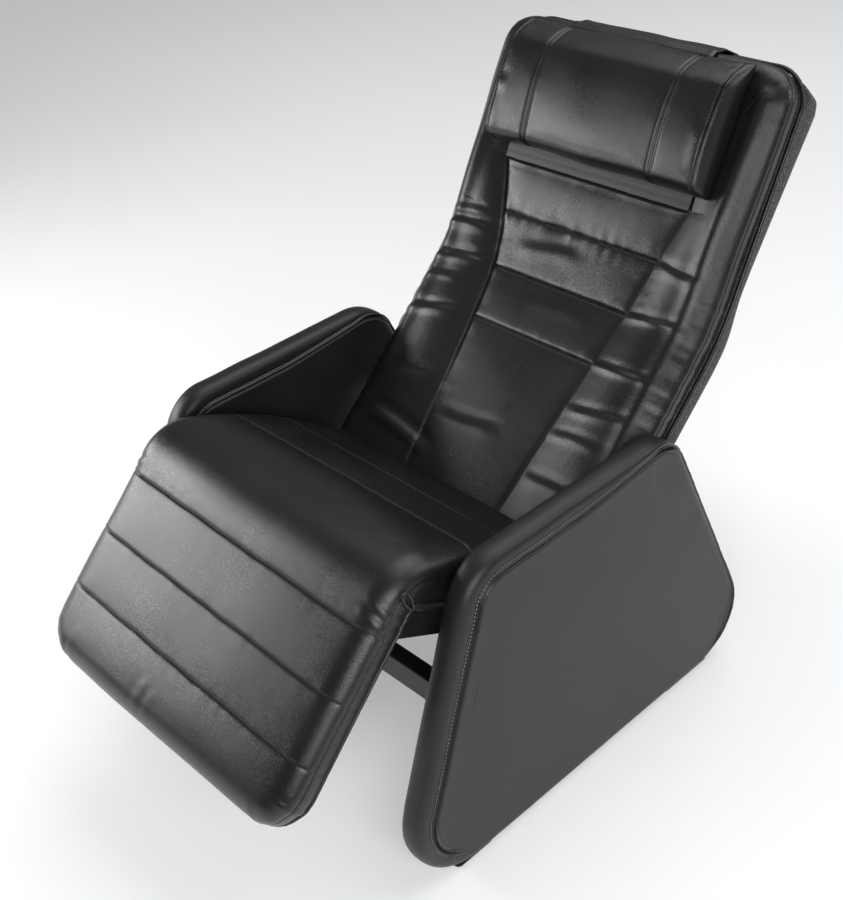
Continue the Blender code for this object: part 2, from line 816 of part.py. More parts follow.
def build_rocker(name, empty, face, looks):
    """A paddle with raised ends that tips about a vertical axis."""
    middle = Vector(empty["place"])
    half = ROCKER_LENGTH / 2
    crest = face - BEZEL_THICKNESS
    outline = [
        Vector((crest - ROCKER_RISE, middle.y - half + ROCKER_RISE)),
        Vector((crest - ROCKER_RISE / 3, middle.y - half / 3)),
        Vector((crest - ROCKER_RISE / 3, middle.y + half / 3)),
        Vector((crest - ROCKER_RISE, middle.y + half - ROCKER_RISE)),
        Vector((crest, middle.y + half - RUNNING_GAP)),
        Vector((face + BEZEL_THICKNESS, middle.y + half / 2)),
        Vector((face + BEZEL_THICKNESS, middle.y - half / 2)),
        Vector((crest, middle.y - half + RUNNING_GAP)),
    ]
    low = middle.z - ROCKER_HEIGHT / 2
    shape = prism(outline, low, low + ROCKER_HEIGHT)
    upright = Matrix(((0, 1, 0, 0), (0, 0, 1, 0), (1, 0, 0, 0), (0, 0, 0, 1)))
    piece(name, placed(shape, upright), looks["plastic"], empty)


def bar_outline(start, end, half, extra):
    """The outline of a straight bar, longer by extra at its start."""
    way = (end - start).normalized()
    side = left_of(way) * half
    begin = start - way * extra
    return [begin + side, begin - side, end - side, end + side]


def tube_bar(name, start, end, tall, low, high, parent, looks, joins=(), holes=()):
    """A straight rectangular tube, open at its start."""
    outer = bar_outline(start, end, tall / 2, 0.0)
    inner = bar_outline(start, end, tall / 2 - RAIL_WALL, tall)
    bore = prism(inner, low + RAIL_WALL, high - RAIL_WALL)
    shape = prism(outer, low, high)
    piece(name, shape, looks["steel"], parent, joins=joins, cuts=[bore, *holes])


def path_lengths(path):
    """Lengths at the joins of a path's pieces, with steps along each arc."""
    lengths = []
    for index, (begin, _, _, bend) in enumerate(path.pieces):
        if not bend:
            continue
        end = path.pieces[index + 1][0]
        lengths.extend(begin + (end - begin) * step / ARC_STEPS for step in range(ARC_STEPS + 1))
    return lengths


def build_seat_frame(seat, looks):
    """The seat's rails and cross tubes, and the narrower rails of the legrest."""
    front = KNEE_TUBE - SEAT_WAY * SEAT_RAIL_HEIGHT / 2
    bush_hole = STUB_DIAMETER + 2 * (RUNNING_GAP + BUSH_WALL + GAP)
    leg_foot = on_leg(LEG_LENGTH - LEG_END_ROLL, LEG_RAIL_DEPTH)
    below_tube = KNEE_TUBE - LEG_WAY * (TORQUE_TUBE / 2 + GAP)
    leg_head = leg_foot + LEG_WAY * (below_tube - leg_foot).dot(LEG_WAY)
    for name, side in both_sides():
        low, high = span(side, SEAT_RAIL_INSIDE, SEAT_RAIL_OUTSIDE)
        holes = [
            rod_along_x(PIVOT, bush_hole, low - GAP, high + GAP),
            rod_along_x(HINGE, HINGE_PIN + 2 * GAP, low - GAP, high + GAP, PIN_SIDES),
        ]
        tube_bar(
            f"seat_rail_{name}",
            front,
            HINGE,
            SEAT_RAIL_HEIGHT,
            low,
            high,
            seat,
            looks,
            joins=[rod_along_x(HINGE, SEAT_RAIL_HEIGHT, low, high)],
            holes=holes,
        )
        low, high = span(side, LEG_RAIL_INSIDE, LEG_RAIL_OUTSIDE)
        tube_bar(
            f"leg_rail_{name}", leg_foot, leg_head, LEG_RAIL_HEIGHT, low, high, seat, looks
        )
        build_bush(f"pivot_bush_{name}", side, seat, looks)
        build_hinge_pin(f"back_hinge_pin_{name}", side, seat, looks)
    reach = SEAT_RAIL_INSIDE - GAP
    build_torque_tube(
        "tilt_torque_tube", PIVOT, reach, TILT_LEVER_END, -LEVER_X, seat, looks
    )
    clevis_pin("tilt_lever_pin", TILT_LEVER_END, -LEVER_X, seat, looks)
    build_torque_tube("knee_cross_tube", KNEE_TUBE, reach, BACK_TAIL, LEVER_X, seat, looks)
    clevis_pin("back_tail_pin", BACK_TAIL, LEVER_X, seat, looks)
    leg_tube = on_leg(LEG_LENGTH - LEG_TUBE_FROM_END, LEG_RAIL_DEPTH)
    build_cross_tube("leg_cross_tube", leg_tube, LEG_RAIL_INSIDE - GAP, seat, looks)


def build_bush(name, side, seat, looks):
    """A flanged nylon bush in the seat rail, running on the stub axle."""
    inner = STUB_DIAMETER + 2 * RUNNING_GAP
    outer = inner + 2 * BUSH_WALL
    sleeve = rod_along_x(
        PIVOT, outer, *span(side, SEAT_RAIL_INSIDE, SEAT_RAIL_OUTSIDE + BUSH_FLANGE)
    )
    flange = rod_along_x(
        PIVOT,
        outer + 4 * BUSH_WALL,
        *span(side, SEAT_RAIL_OUTSIDE + GAP, SEAT_RAIL_OUTSIDE + BUSH_FLANGE),
    )
    bore = rod_along_x(
        PIVOT, inner, *span(side, SEAT_RAIL_INSIDE - RAIL_WIDTH, WIDTH / 2)
    )
    piece(name, sleeve, looks["nylon"], seat, joins=[flange], cuts=[bore])


def build_hinge_pin(name, side, seat, looks):
    """A headed pin through the seat rail, on which the back rail turns."""
    inner = BACK_RAIL_INSIDE - RAIL_WIDTH / 2
    head_inner = SEAT_RAIL_OUTSIDE + GAP
    shank = rod_along_x(HINGE, HINGE_PIN, *span(side, inner, head_inner + GAP), PIN_SIDES)
    head = rod_along_x(
        HINGE,
        HINGE_PIN_HEAD,
        *span(side, head_inner, head_inner + HINGE_PIN_HEAD_HEIGHT),
        PIN_SIDES,
    )
    piece(name, shank, looks["bright_steel"], seat, joins=[head])


def build_torque_tube(name, centre, reach, lever_end, middle, parent, looks):
    """A round tube between the rails with a pair of ears for an actuator."""
    tube = rod_along_x(centre, TORQUE_TUBE, -reach, reach)
    ears = ear_pair(link_outline(centre, TORQUE_TUBE * 0.45, lever_end, EAR_RADIUS), middle)
    bore = rod_along_x(centre, TORQUE_BORE, -WIDTH / 2, WIDTH / 2)
    hole = clevis_hole(lever_end, middle)
    piece(name, tube, looks["steel"], parent, joins=[ears], cuts=[combined(bore, hole)])


def build_cross_tube(name, centre, reach, parent, looks):
    tube = rod_along_x(centre, CROSS_TUBE, -reach, reach)
    bore = rod_along_x(centre, CROSS_TUBE - 2 * RAIL_WALL, -WIDTH / 2, WIDTH / 2)
    piece(name, tube, looks["steel"], parent, cuts=[bore])


def board(name, corners, half, corner_radius, look, parent):
    """A flat board: two side view ends on its upper face and its thickness."""
    start, end, thickness = corners
    way = (end - start).normalized()
    length = (end - start).length
    outline = rounded_box_outline(Vector((0, length / 2)), 2 * half, length, corner_radius)
    shape = prism(outline, 0, thickness)
    up = left_of(way)
    turn = Matrix(
        (
            (0, 1, 0, 0),
            (-up.x, 0, way.x, start.x),
            (-up.y, 0, way.y, start.y),
            (0, 0, 0, 1),
        )
    )
    piece(name, placed(shape, turn), look, parent)


def build_decks(seat, looks):
    """The boards under the seat and legrest pads, and the panel behind the legrest."""
    half = SEAT_PAD_HALF_WIDTH - DECK_MARGIN
    depth = SEAT_PAD + GAP
    knee_gap = DECK_MARGIN
    knee_on_seat = meeting_point(
        on_seat(0, depth), SEAT_WAY, on_leg(0, depth), LEG_WAY
    )
    rear = on_seat(-BACK_PAD_TAIL / 2, depth)
    board(
        "seat_deck",
        (knee_on_seat + SEAT_WAY * knee_gap, rear, DECK),
        half,
        DECK_MARGIN,
        looks["plywood"],
        seat,
    )
    foot = on_leg(LEG_LENGTH - LEG_END_ROLL / 2, depth)
    board(
        "leg_deck",
        (foot, knee_on_seat - LEG_WAY * knee_gap, DECK),
        SEAT_PAD_HALF_WIDTH - LEG_DECK_MARGIN,
        LEG_DECK_MARGIN,
        looks["plywood"],
        seat,
    )
    panel_depth = LEG_RAIL_DEPTH + LEG_RAIL_HEIGHT / 2 + GAP
    board(
        "leg_back_panel",
        (
            on_leg(LEG_LENGTH - LEG_END_ROLL, panel_depth),
            on_leg(LEG_LENGTH / 3, panel_depth),
            LEG_PANEL,
        ),
        LEG_RAIL_OUTSIDE,
        DECK_MARGIN,
        looks["fabric"],
        seat,
    )


def roll_factor(distance, roll, least):
    """How much of its full height a pad has near an edge: a quarter round."""
    share = min(max(distance / roll, 0.0), 1.0)
    return least + (1 - least) * math.sqrt(1 - (1 - share) ** 2)


def groove(distance):
    """The dip beside a sewn seam."""
    return SEAM_DEPTH * max(0.0, 1 - abs(distance) / SEAM_SPREAD)


def lobe(length, seams):
    """The puff between neighbouring seams."""
    for first, second in zip(seams, seams[1:]):
        if first <= length <= second:
            return LOBE_PUFF * math.sin(math.pi * (length - first) / (second - first))
    return 0.0


def corner_width(distance, half, radius):
    """The half width of an outline near its rounded end."""
    if distance >= radius:
        return half
    return half - radius + math.sqrt(max(0.0, radius**2 - (radius - distance) ** 2))


def sewn_rows(seams):
    """Row lengths that draw each seam as a narrow valley."""
    return [seam + step * SEAM_SPREAD for seam in seams for step in (-1, 0, 1)]


def middles(seams):
    return [(first + second) / 2 for first, second in zip(seams, seams[1:])]


def spaced(rows):
    """Rows in order, without those that crowd the one before."""
    kept = []
    for row in sorted(rows):
        if not kept or row - kept[-1] > ROW_SPACING:
            kept.append(row)
    return kept


def edge_columns(half, roll):
    """Distances from the middle to the columns of a rolled edge, outermost first."""
    return [half - share * roll for share in (0.0, 0.08, 0.35, 1.0)]


def pad_shape(path, rows, columns, height, base_depth, base_inset):
    """A closed pad: columns(row) are X values and height(row, x) is over its flat base."""
    shape = bmesh.new()
    tops = []
    bases = []
    for row in rows:
        point, normal = path.at(row)
        across = columns(row)
        half = max(across)
        top_row = []
        base_row = []
        for place in across:
            base = point - normal * base_depth
            top = base + normal * height(row, place)
            top_row.append(shape.verts.new((place, *top)))
            base_row.append(shape.verts.new((place * (1 - base_inset / half), *base)))
        tops.append(top_row)
        bases.append(base_row)
    count = len(tops[0])
    for row in range(len(rows) - 1):
        for column in range(count - 1):
            for grid in (tops, bases):
                shape.faces.new(
                    (
                        grid[row][column],
                        grid[row][column + 1],
                        grid[row + 1][column + 1],
                        grid[row + 1][column],
                    )
                )
        for column in (0, -1):
            shape.faces.new(
                (
                    tops[row][column],
                    tops[row + 1][column],
                    bases[row + 1][column],
                    bases[row][column],
                )
            )
    for row in (0, -1):
        for column in range(count - 1):
            shape.faces.new(
                (
                    tops[row][column],
                    tops[row][column + 1],
                    bases[row][column + 1],
                    bases[row][column],
                )
            )
    return shape


def build_seat_pad(seat, looks):
    """One pad from the legrest's end over the knee to the crease."""
    path = SEAT_PATH
    leg_seams = [path.before(1, distance) for distance in reversed(LEG_SEAMS)]
    seat_seams = [path.length - distance for distance in reversed(SEAT_SEAMS)]
    seams = leg_seams + seat_seams
    knee_in = path.pieces[1][0]
    knee_out = path.pieces[2][0]
    end = path.length - SWING_GAP
    rows = [LEG_END_ROLL * share for share in (0.0, 0.05, 0.2, 0.5)]
    rows += sewn_rows(seams) + middles(leg_seams) + path_lengths(path)
    rows += [knee_out + (seat_seams[0] - knee_out) * share for share in (0.3, 0.6)]
    rows += middles(seat_seams + [end])
    rows = spaced(rows + [end])

    def half_width(row):
        half = corner_width(row, SEAT_PAD_HALF_WIDTH, LEG_CORNER)
        share = row / path.length
        return half - PAD_WAIST * math.sin(math.pi * share) ** 2

    def columns(row):
        edge = edge_columns(half_width(row), SIDE_ROLL)
        inner = [edge[-1] * share for share in PAD_COLUMN_SHARES]
        right = edge + inner
        return right + [0.0] + [-place for place in reversed(right)]

    def height(row, place):
        side = roll_factor(half_width(row) - abs(place), SIDE_ROLL, EDGE_SHARE)
        end_roll = roll_factor(row, LEG_END_ROLL, LEG_END_SHARE)
        crown = 0.0
        if row > knee_in:
            crown = SEAT_CROWN * math.sin(math.pi * (row - knee_in) / (path.length - knee_in))
        puff = crown + lobe(row, leg_seams + [knee_in])
        dip = sum(groove(row - seam) for seam in seams)
        return (SEAT_PAD + puff - dip) * side * end_roll

    shape = pad_shape(path, rows, columns, height, SEAT_PAD, PAD_BASE_INSET)
    piece("seat_leg_pad", cut_pad_end(shape), looks["leather"], seat)


def cut_pad_end(shape):
    """Slopes the pad's rear end to lie along the back pad's face."""
    back_face = CREASE + BACK_FRONT * SWING_GAP
    for vert in shape.verts:
        point = Vector((vert.co.y, vert.co.z))
        beyond = (point - back_face).dot(BACK_FRONT)
        if beyond < 0:
            moved = point - SEAT_WAY * (beyond / SEAT_WAY.dot(BACK_FRONT))
            vert.co.y, vert.co.z = moved
    return shape


def back_panel_half_width(row):
    """The middle panel of the back narrows towards the seat, fastest under the band."""
    share = min(max(row / BACK_BAND[0], 0.0), 1.0)
    spread = BACK_PANEL_TOP_HALF_WIDTH - BACK_PANEL_BASE_HALF_WIDTH
    return BACK_PANEL_BASE_HALF_WIDTH + spread * (share + share**4) / 2


def build_back_pad(back, looks):
    """The back pad: a sewn middle panel between two bolsters, and a band under the head."""
    path = BACK_PATH
    start = -BACK_PAD_TAIL
    end = BACK_LENGTH
    seams = list(BACK_SEAMS)
    rows = [start, start / 2, 0.0, BACK_SEAMS[0] / 3, BACK_SEAMS[0] * 2 / 3]
    rows += sewn_rows(seams) + middles(seams) + path_lengths(path)
    rows += [BACK_BAND[0] - SEAM_SPREAD, *BACK_BAND, BACK_BAND[1] + SEAM_SPREAD]
    rows += [(BACK_BAND[1] + end) / 2]
    rows = spaced(rows + [end - SIDE_ROLL * share for share in (1.0, 0.35, 0.08, 0.0)])

    def half_width(row):
        half = corner_width(end - row, BACK_PAD_HALF_WIDTH, BACK_CORNER)
        share = min(max(row / end, 0.0), 1.0)
        return half - PAD_WAIST * math.sin(math.pi * share) ** 2

    def columns(row):
        edge = edge_columns(half_width(row), SIDE_ROLL)
        panel = min(back_panel_half_width(row), edge[-1] - 3 * SEAM_SPREAD)
        middle = (edge[-1] + panel + SEAM_SPREAD) / 2
        sewn = [panel + step * SEAM_SPREAD for step in (1, 0, -1)]
        right = edge + [middle] + sewn + [panel * 0.4]
        return right + [0.0] + [-place for place in reversed(right)]

    def height(row, place):
        side = roll_factor(half_width(row) - abs(place), SIDE_ROLL, EDGE_SHARE)
        end_roll = roll_factor(end - row, SIDE_ROLL, EDGE_SHARE)
        panel = back_panel_half_width(row)
        below_band = min(max((BACK_BAND[0] - row) / SEAM_SPREAD, 0.0), 1.0)
        in_panel = abs(place) < panel + GAP
        dip = groove(abs(place) - panel) * below_band
        puff = 0.0
        if in_panel:
            dip = max([dip] + [groove(row - seam) * below_band for seam in seams])
            puff = lobe(row, seams) - BOLSTER_PUFF * 0.3 * below_band
        elif row < BACK_BAND[0]:
            share = (abs(place) - panel) / (half_width(row) - panel)
            risen = min(max(row / BACK_SEAMS[0], 0.0), 1.0)
            puff = BOLSTER_PUFF * math.sin(math.pi * min(share, 1.0)) * below_band * risen
        if BACK_BAND[0] <= row <= BACK_BAND[1] and abs(place) <= BACK_PANEL_TOP_HALF_WIDTH:
            puff += LOBE_PUFF
        return (BACK_PAD + puff - dip) * side * end_roll

    shape = pad_shape(path, rows, columns, height, BACK_PAD, PAD_BASE_INSET)
    piece("back_pad", shape, looks["leather"], back)


def build_pillow(back, looks):
    """The head pillow, crowned, with two upright seams, and the flap over the back's top."""
    path = BACK_PATH
    start = PILLOW_START
    end = PILLOW_START + PILLOW_LENGTH
    shares = (0.0, 0.03, 0.12, 0.3, 0.5, 0.7, 0.88, 0.97, 1.0)
    rows = [start + PILLOW_LENGTH * share for share in shares]

    def half_width(row):
        share = (row - start) / PILLOW_LENGTH
        return PILLOW_HALF_WIDTH - PILLOW_WAIST * math.sin(math.pi * share)

    def columns(row):
        edge = [half_width(row) - share * PILLOW_ROLL for share in (0.0, 0.08, 0.35)]
        sewn = [PILLOW_SEAM + step * SEAM_SPREAD for step in (1, 0, -1)]
        right = edge + sewn + [PILLOW_SEAM * 0.45]
        return right + [0.0] + [-place for place in reversed(right)]

    def height(row, place):
        side = roll_factor(half_width(row) - abs(place), PILLOW_ROLL, PILLOW_EDGE_SHARE)
        low_end = roll_factor(row - start, PILLOW_ROLL, PILLOW_EDGE_SHARE)
        high_end = roll_factor(end - row, PILLOW_ROLL * 1.4, PILLOW_EDGE_SHARE)
        dip = groove(abs(place) - PILLOW_SEAM)
        return (PILLOW_THICKNESS - dip) * side * low_end * high_end

    shape = pad_shape(path, rows, columns, height, -PILLOW_STANDOFF, PAD_BASE_INSET)
    piece("head_pillow", shape, looks["leather"], back)
    build_flap(back, looks)


def build_flap(back, looks):
    """A leather strap from behind the pillow, over the back's top and down the rear cover."""
    top = BACK_LENGTH + WELT_DIAMETER + FLAP_CLEARANCE
    rear = COVER_UPPER_DEPTH + FLAP_CLEARANCE
    line = (
        BACK_PATH.into(PILLOW_START + PILLOW_LENGTH + FLAP_CLEARANCE, -PILLOW_STANDOFF),
        BACK_PATH.into(top, 0.0),
        BACK_PATH.into(top, COVER_UPPER_DEPTH * 0.62),
        BACK_PATH.into(BACK_LENGTH - FLAP_SHOULDER, rear),
        BACK_PATH.into(BACK_LENGTH - FLAP_TAIL, rear - FLAP_LEAN),
    )
    path = SidePath(line, FLAP_BENDS)
    upper = []
    lower = []
    for length in [0.0, *path_lengths(path), path.length]:
        point, normal = path.at(length)
        upper.append(point + normal * FLAP_THICKNESS / 2)
        lower.append(point - normal * FLAP_THICKNESS / 2)
    strap = prism(upper + lower[::-1], -FLAP_HALF_WIDTH, FLAP_HALF_WIDTH)
    piece("pillow_flap", strap, looks["leather"], back)


def build_back_frame(back, looks):
    for name, side in both_sides():
        build_back_rail(f"back_rail_{name}", side, back, looks)
    reach = BACK_RAIL_INSIDE - GAP
    build_torque_tube(
        "back_torque_tube", HINGE, reach, BACK_LEVER_END, LEVER_X, back, looks
    )
    clevis_pin("back_lever_pin", BACK_LEVER_END, LEVER_X, back, looks)
    for name, place in (("mid", BACK_MID_TUBE_AT), ("top", BACK_TOP_TUBE_AT)):
        centre = BACK_PATH.into(place, BACK_RAIL_DEPTH)
        build_cross_tube(f"back_{name}_tube", centre, reach, back, looks)


def build_back_rail(name, side, back, looks):
    """A bent tube from the hinge to near the top of the back, open at its top."""
    low, high = span(side, BACK_RAIL_INSIDE, BACK_RAIL_OUTSIDE)
    pin_hole = HINGE_PIN + 2 * RUNNING_GAP
    bend = [(HINGE - CREASE).dot(BACK_WAY), *path_lengths(BACK_PATH)]
    half = BACK_RAIL_HEIGHT / 2
    outer = strip_outline(
        [*bend, BACK_RAIL_LENGTH], BACK_RAIL_DEPTH - half, BACK_RAIL_DEPTH + half
    )
    wall = half - RAIL_WALL
    inner = strip_outline(
        [*bend, BACK_RAIL_LENGTH + half], BACK_RAIL_DEPTH - wall, BACK_RAIL_DEPTH + wall
    )
    piece(
        name,
        prism(outer, low, high),
        looks["steel"],
        back,
        joins=[rod_along_x(HINGE, BACK_RAIL_HEIGHT, low, high)],
        cuts=[
            prism(inner, low + RAIL_WALL, high - RAIL_WALL),
            rod_along_x(HINGE, pin_hole, low - GAP, high + GAP, PIN_SIDES),
        ],
    )


def strip_outline(lengths, near, far):
    """The outline of a strip that follows the back's face between two depths."""
    front = [BACK_PATH.into(length, near) for length in lengths]
    rear = [BACK_PATH.into(length, far) for length in lengths]
    return front + rear[::-1]


def build_back_shell(back, looks):
    """The bent deck behind the back pad, the fabric rear cover, the welt and the apron."""
    depth = BACK_PAD + GAP
    lengths = [-BACK_PAD_TAIL / 2, *path_lengths(BACK_PATH), BACK_LENGTH - 2 * DECK_MARGIN]
    deck = prism(
        strip_outline(lengths, depth, depth + BACK_DECK),
        -BACK_DECK_HALF_WIDTH,
        BACK_DECK_HALF_WIDTH,
    )
    piece("back_deck", deck, looks["plywood"], back)
    build_rear_cover(back, looks)
    build_welt(back, looks)
    build_apron(back, looks)


def build_rear_cover(back, looks):
    """A shell over the back frame, open to the pad and below, chamfered at the top."""
    rim = BACK_PAD + GAP
    top = BACK_LENGTH - PAD_BASE_INSET
    waist = BACK_LOWER_LENGTH + COVER_STEP
    keys = (
        (COVER_BOTTOM, COVER_LOWER_DEPTH),
        (BACK_LOWER_LENGTH, COVER_LOWER_DEPTH),
        (waist, COVER_WAIST_DEPTH),
        (top - COVER_CHAMFER, COVER_UPPER_DEPTH),
        (top - COVER_CHAMFER / 2, COVER_UPPER_DEPTH - COVER_CHAMFER / 5),
        (top - COVER_CHAMFER / 8, (COVER_UPPER_DEPTH + rim) * 0.45),
        (top, rim + 2 * COVER_WALL),
    )
    lengths = sorted([key[0] for key in keys] + path_lengths(BACK_PATH))
    shape = bmesh.new()
    rings = []
    for length in lengths:
        depth = between(keys, length)
        half = corner_width(top - length, BACK_BASE_HALF_WIDTH, BACK_CORNER) - GAP
        ring = []
        for place, into in cover_section(half, rim, depth):
            ring.append(shape.verts.new((place, *BACK_PATH.into(length, into))))
        rings.append(ring)
    shape.faces.new(rings[0])
    shape.faces.new(rings[-1][::-1])
    for lower, upper in zip(rings, rings[1:]):
        for step in range(len(lower)):
            shape.faces.new((lower[step - 1], lower[step], upper[step], upper[step - 1]))
    piece("rear_cover", shape, looks["fabric"], back)


def between(keys, length):
    """A value read from (length, value) pairs, straight between neighbours."""
    for (first, low), (second, high) in zip(keys, keys[1:]):
        if length <= second:
            return low + (high - low) * (length - first) / (second - first)
    return keys[-1][1]


def cover_section(half, rim, depth):
    """A trough's section: outside from rim to rim, then back along the inside."""
    edge = min(COVER_EDGE, (depth - rim) / 2)
    wall = COVER_WALL
    outside = [(half, rim), (half, depth - edge), (half - edge, depth)]
    inside = [
        (half - wall, rim),
        (half - wall, depth - edge - wall / 2),
        (half - edge - wall / 2, depth - wall),
    ]
    mirrored_outside = [(-place, into) for place, into in reversed(outside)]
    mirrored_inside = [(-place, into) for place, into in inside]
    return outside + mirrored_outside + mirrored_inside + inside[::-1]


def build_welt(back, looks):
    """The piping between pad and rear cover, up one side, over the top and down the other."""
    radius = WELT_DIAMETER / 2
    half = BACK_BASE_HALF_WIDTH + radius + RUNNING_GAP
    top = BACK_LENGTH + radius + RUNNING_GAP
    corner = BACK_CORNER + radius
    depth = BACK_PAD + radius
    steps = [COVER_BOTTOM, *path_lengths(BACK_PATH), (BACK_LOWER_LENGTH + top) / 2]
    right = [(half, length) for length in steps]
    for step in range(ARC_STEPS + 1):
        angle = math.pi / 2 * step / ARC_STEPS
        right.append(
            (half - corner + corner * math.cos(angle), top - corner + corner * math.sin(angle))
        )
    line = right + [(-place, length) for place, length in reversed(right)]
    curve = bpy.data.curves.new("back_welt", "CURVE")
    curve.dimensions = "3D"
    curve.bevel_depth = radius
    curve.bevel_resolution = 1
    curve.use_fill_caps = True
    spline = curve.splines.new("POLY")
    spline.points.add(len(line) - 1)
    base = Vector(back["place"])
    for point, (place, length) in zip(spline.points, line):
        spot = Vector((place, *BACK_PATH.into(length, depth))) - base
        point.co = (*spot, 1.0)
    welt = bpy.data.objects.new("back_welt", curve)
    bpy.context.scene.collection.objects.link(welt)
    welt.parent = back
    curve.materials.append(looks["leather"])


def build_apron(back, looks):
    """A curved leather apron about the hinge, which closes the crease as the back goes down."""
    begin = math.atan2(BACK_FRONT.y, BACK_FRONT.x)
    outer = []
    inner = []
    for step in range(ARC_STEPS + 1):
        way = heading(begin + APRON_SWEEP * step / ARC_STEPS)
        outer.append(HINGE + way * APRON_RADIUS)
        inner.append(HINGE + way * (APRON_RADIUS - APRON_THICKNESS))
    half = BACK_RAIL_INSIDE - RAIL_SIDE_GAP
    apron = prism(outer + inner[::-1], -half, half)
    piece("crease_apron", apron, looks["leather"], back)


def driver(name, point, outward, parent, looks):
    """A tactile sound driver: a flange, a ribless pot and a stepped cap, screwed to a deck."""
    flange = DRIVER_FLANGE / 2
    body = DRIVER_BODY / 2
    profile = (
        (flange, 0.0),
        (flange, DRIVER_FLANGE_THICKNESS),
        (body, DRIVER_FLANGE_THICKNESS * 1.25),
        (body, DRIVER_DEPTH * 0.75),
        (body * 0.8, DRIVER_DEPTH * 0.85),
        (body * 0.55, DRIVER_DEPTH * 0.88),
        (body * 0.5, DRIVER_DEPTH),
    )
    side = left_of(outward)
    turn = Matrix(
        (
            (1, 0, 0, 0),
            (0, side.x, outward.x, point.x),
            (0, side.y, outward.y, point.y),
            (0, 0, 0, 1),
        )
    )
    piece(name, placed(turned(profile), turn), looks["black_metal"], parent)


def build_drivers(seat, back, looks):
    seat_spot = on_seat(SEAT_DRIVER_AT, DECK_UNDERSIDE)
    driver("seat_driver", seat_spot, -SEAT_UP, seat, looks)
    leg_tube = LEG_LENGTH - LEG_TUBE_FROM_END - CROSS_TUBE / 2
    leg_driver_at = leg_tube - LEG_DRIVER_CLEARANCE - DRIVER_FLANGE / 2
    leg_spot = on_leg(leg_driver_at, DECK_UNDERSIDE)
    driver("leg_driver", leg_spot, -LEG_UP, seat, looks)
    back_depth = BACK_PAD + BACK_DECK + 2 * GAP
    for name, place in zip(("lower", "upper"), BACK_DRIVERS_AT):
        point, normal = BACK_PATH.at(place)
        driver(f"back_driver_{name}", point - normal * back_depth, -normal, back, looks)


def actuator_frame(tail, head, middle):
    """Maps (x, across, along) of an actuator to the chair, with its tail eye at the origin."""
    way = (head - tail).normalized()
    side = left_of(way)
    return Matrix(
        (
            (1, 0, 0, middle),
            (0, side.x, way.x, tail.x),
            (0, side.y, way.y, tail.y),
            (0, 0, 0, 1),
        )
    )


def build_actuator(name, tail, head, middle, outward, case_empty, rod_empty, looks):
    """A linear actuator: tail eye, gear case and tube, a motor beside it, and a sliding rod."""
    frame = actuator_frame(tail, head, middle)
    length = (head - tail).length
    tube_end = length - ROD_SHOWING
    case_start = EYE_RADIUS + SWING_GAP
    case_end = case_start + CASE_LENGTH
    motor_x = outward * (ACTUATOR_TUBE / 2 + MOTOR / 2 + SWING_GAP)
    inner_x = -outward * CASE_HALF_HEIGHT * 0.9
    outer_x = motor_x + outward * MOTOR / 2
    case_outline = rounded_box_outline(
        Vector((0, (case_start + case_end) / 2)),
        2 * CASE_HALF_HEIGHT,
        CASE_LENGTH,
        CASE_CORNER,
    )
    case = prism(case_outline, *sorted((inner_x, outer_x)))
    rounded_edges(case, across_x, CASE_EDGE, 2)
    tail_end = Vector((0, case_start + EYE_RADIUS))
    eye = prism(
        link_outline(Vector((0, 0)), EYE_RADIUS, tail_end, EYE_RADIUS * 0.9),
        -EYE_WIDTH / 2,
        EYE_WIDTH / 2,
    )
    tube = turned(((ACTUATOR_TUBE / 2, case_end - EYE_RADIUS), (ACTUATOR_TUBE / 2, tube_end)))
    eye_hole = rod_along_x(
        Vector((0, 0)), CLEVIS_PIN + 2 * RUNNING_GAP, -EYE_WIDTH, EYE_WIDTH, PIN_SIDES
    )
    bore_start = case_end + SWING_GAP
    bore_end = tube_end + SWING_GAP
    bore = turned(((ACTUATOR_BORE / 2, bore_start), (ACTUATOR_BORE / 2, bore_end)))
    piece(
        f"{name}_actuator_case",
        placed(case, frame),
        looks["plastic"],
        case_empty,
        joins=[placed(eye, frame), placed(tube, frame)],
        cuts=[placed(combined(eye_hole, bore), frame)],
    )
    motor_radius = MOTOR / 2
    motor_start = case_end + GAP
    motor_profile = (
        (motor_radius, motor_start),
        (motor_radius, motor_start + MOTOR_LENGTH * 0.9),
        (motor_radius * 0.85, motor_start + MOTOR_LENGTH * 0.94),
        (motor_radius * 0.4, motor_start + MOTOR_LENGTH * 0.95),
        (motor_radius * 0.4, motor_start + MOTOR_LENGTH),
    )
    motor = placed(turned(motor_profile), frame @ Matrix.Translation((motor_x, 0, 0)))
    piece(f"{name}_actuator_motor", motor, looks["black_metal"], case_empty)
    rod_start = case_end + ROD_SHOWING * 0.6
    rod = turned(((ROD / 2, rod_start), (ROD / 2, length - EYE_RADIUS * 0.7)), PIN_SIDES)
    head_eye = rod_along_x(Vector((0, length)), 2 * EYE_RADIUS, -EYE_WIDTH / 2, EYE_WIDTH / 2)
    head_hole = rod_along_x(Vector((0, length)), ROD_EYE_HOLE, -EYE_WIDTH, EYE_WIDTH, PIN_SIDES)
    piece(
        f"{name}_actuator_rod",
        placed(rod, frame),
        looks["bright_steel"],
        rod_empty,
        joins=[placed(head_eye, frame)],
        cuts=[placed(head_hole, frame)],
    )


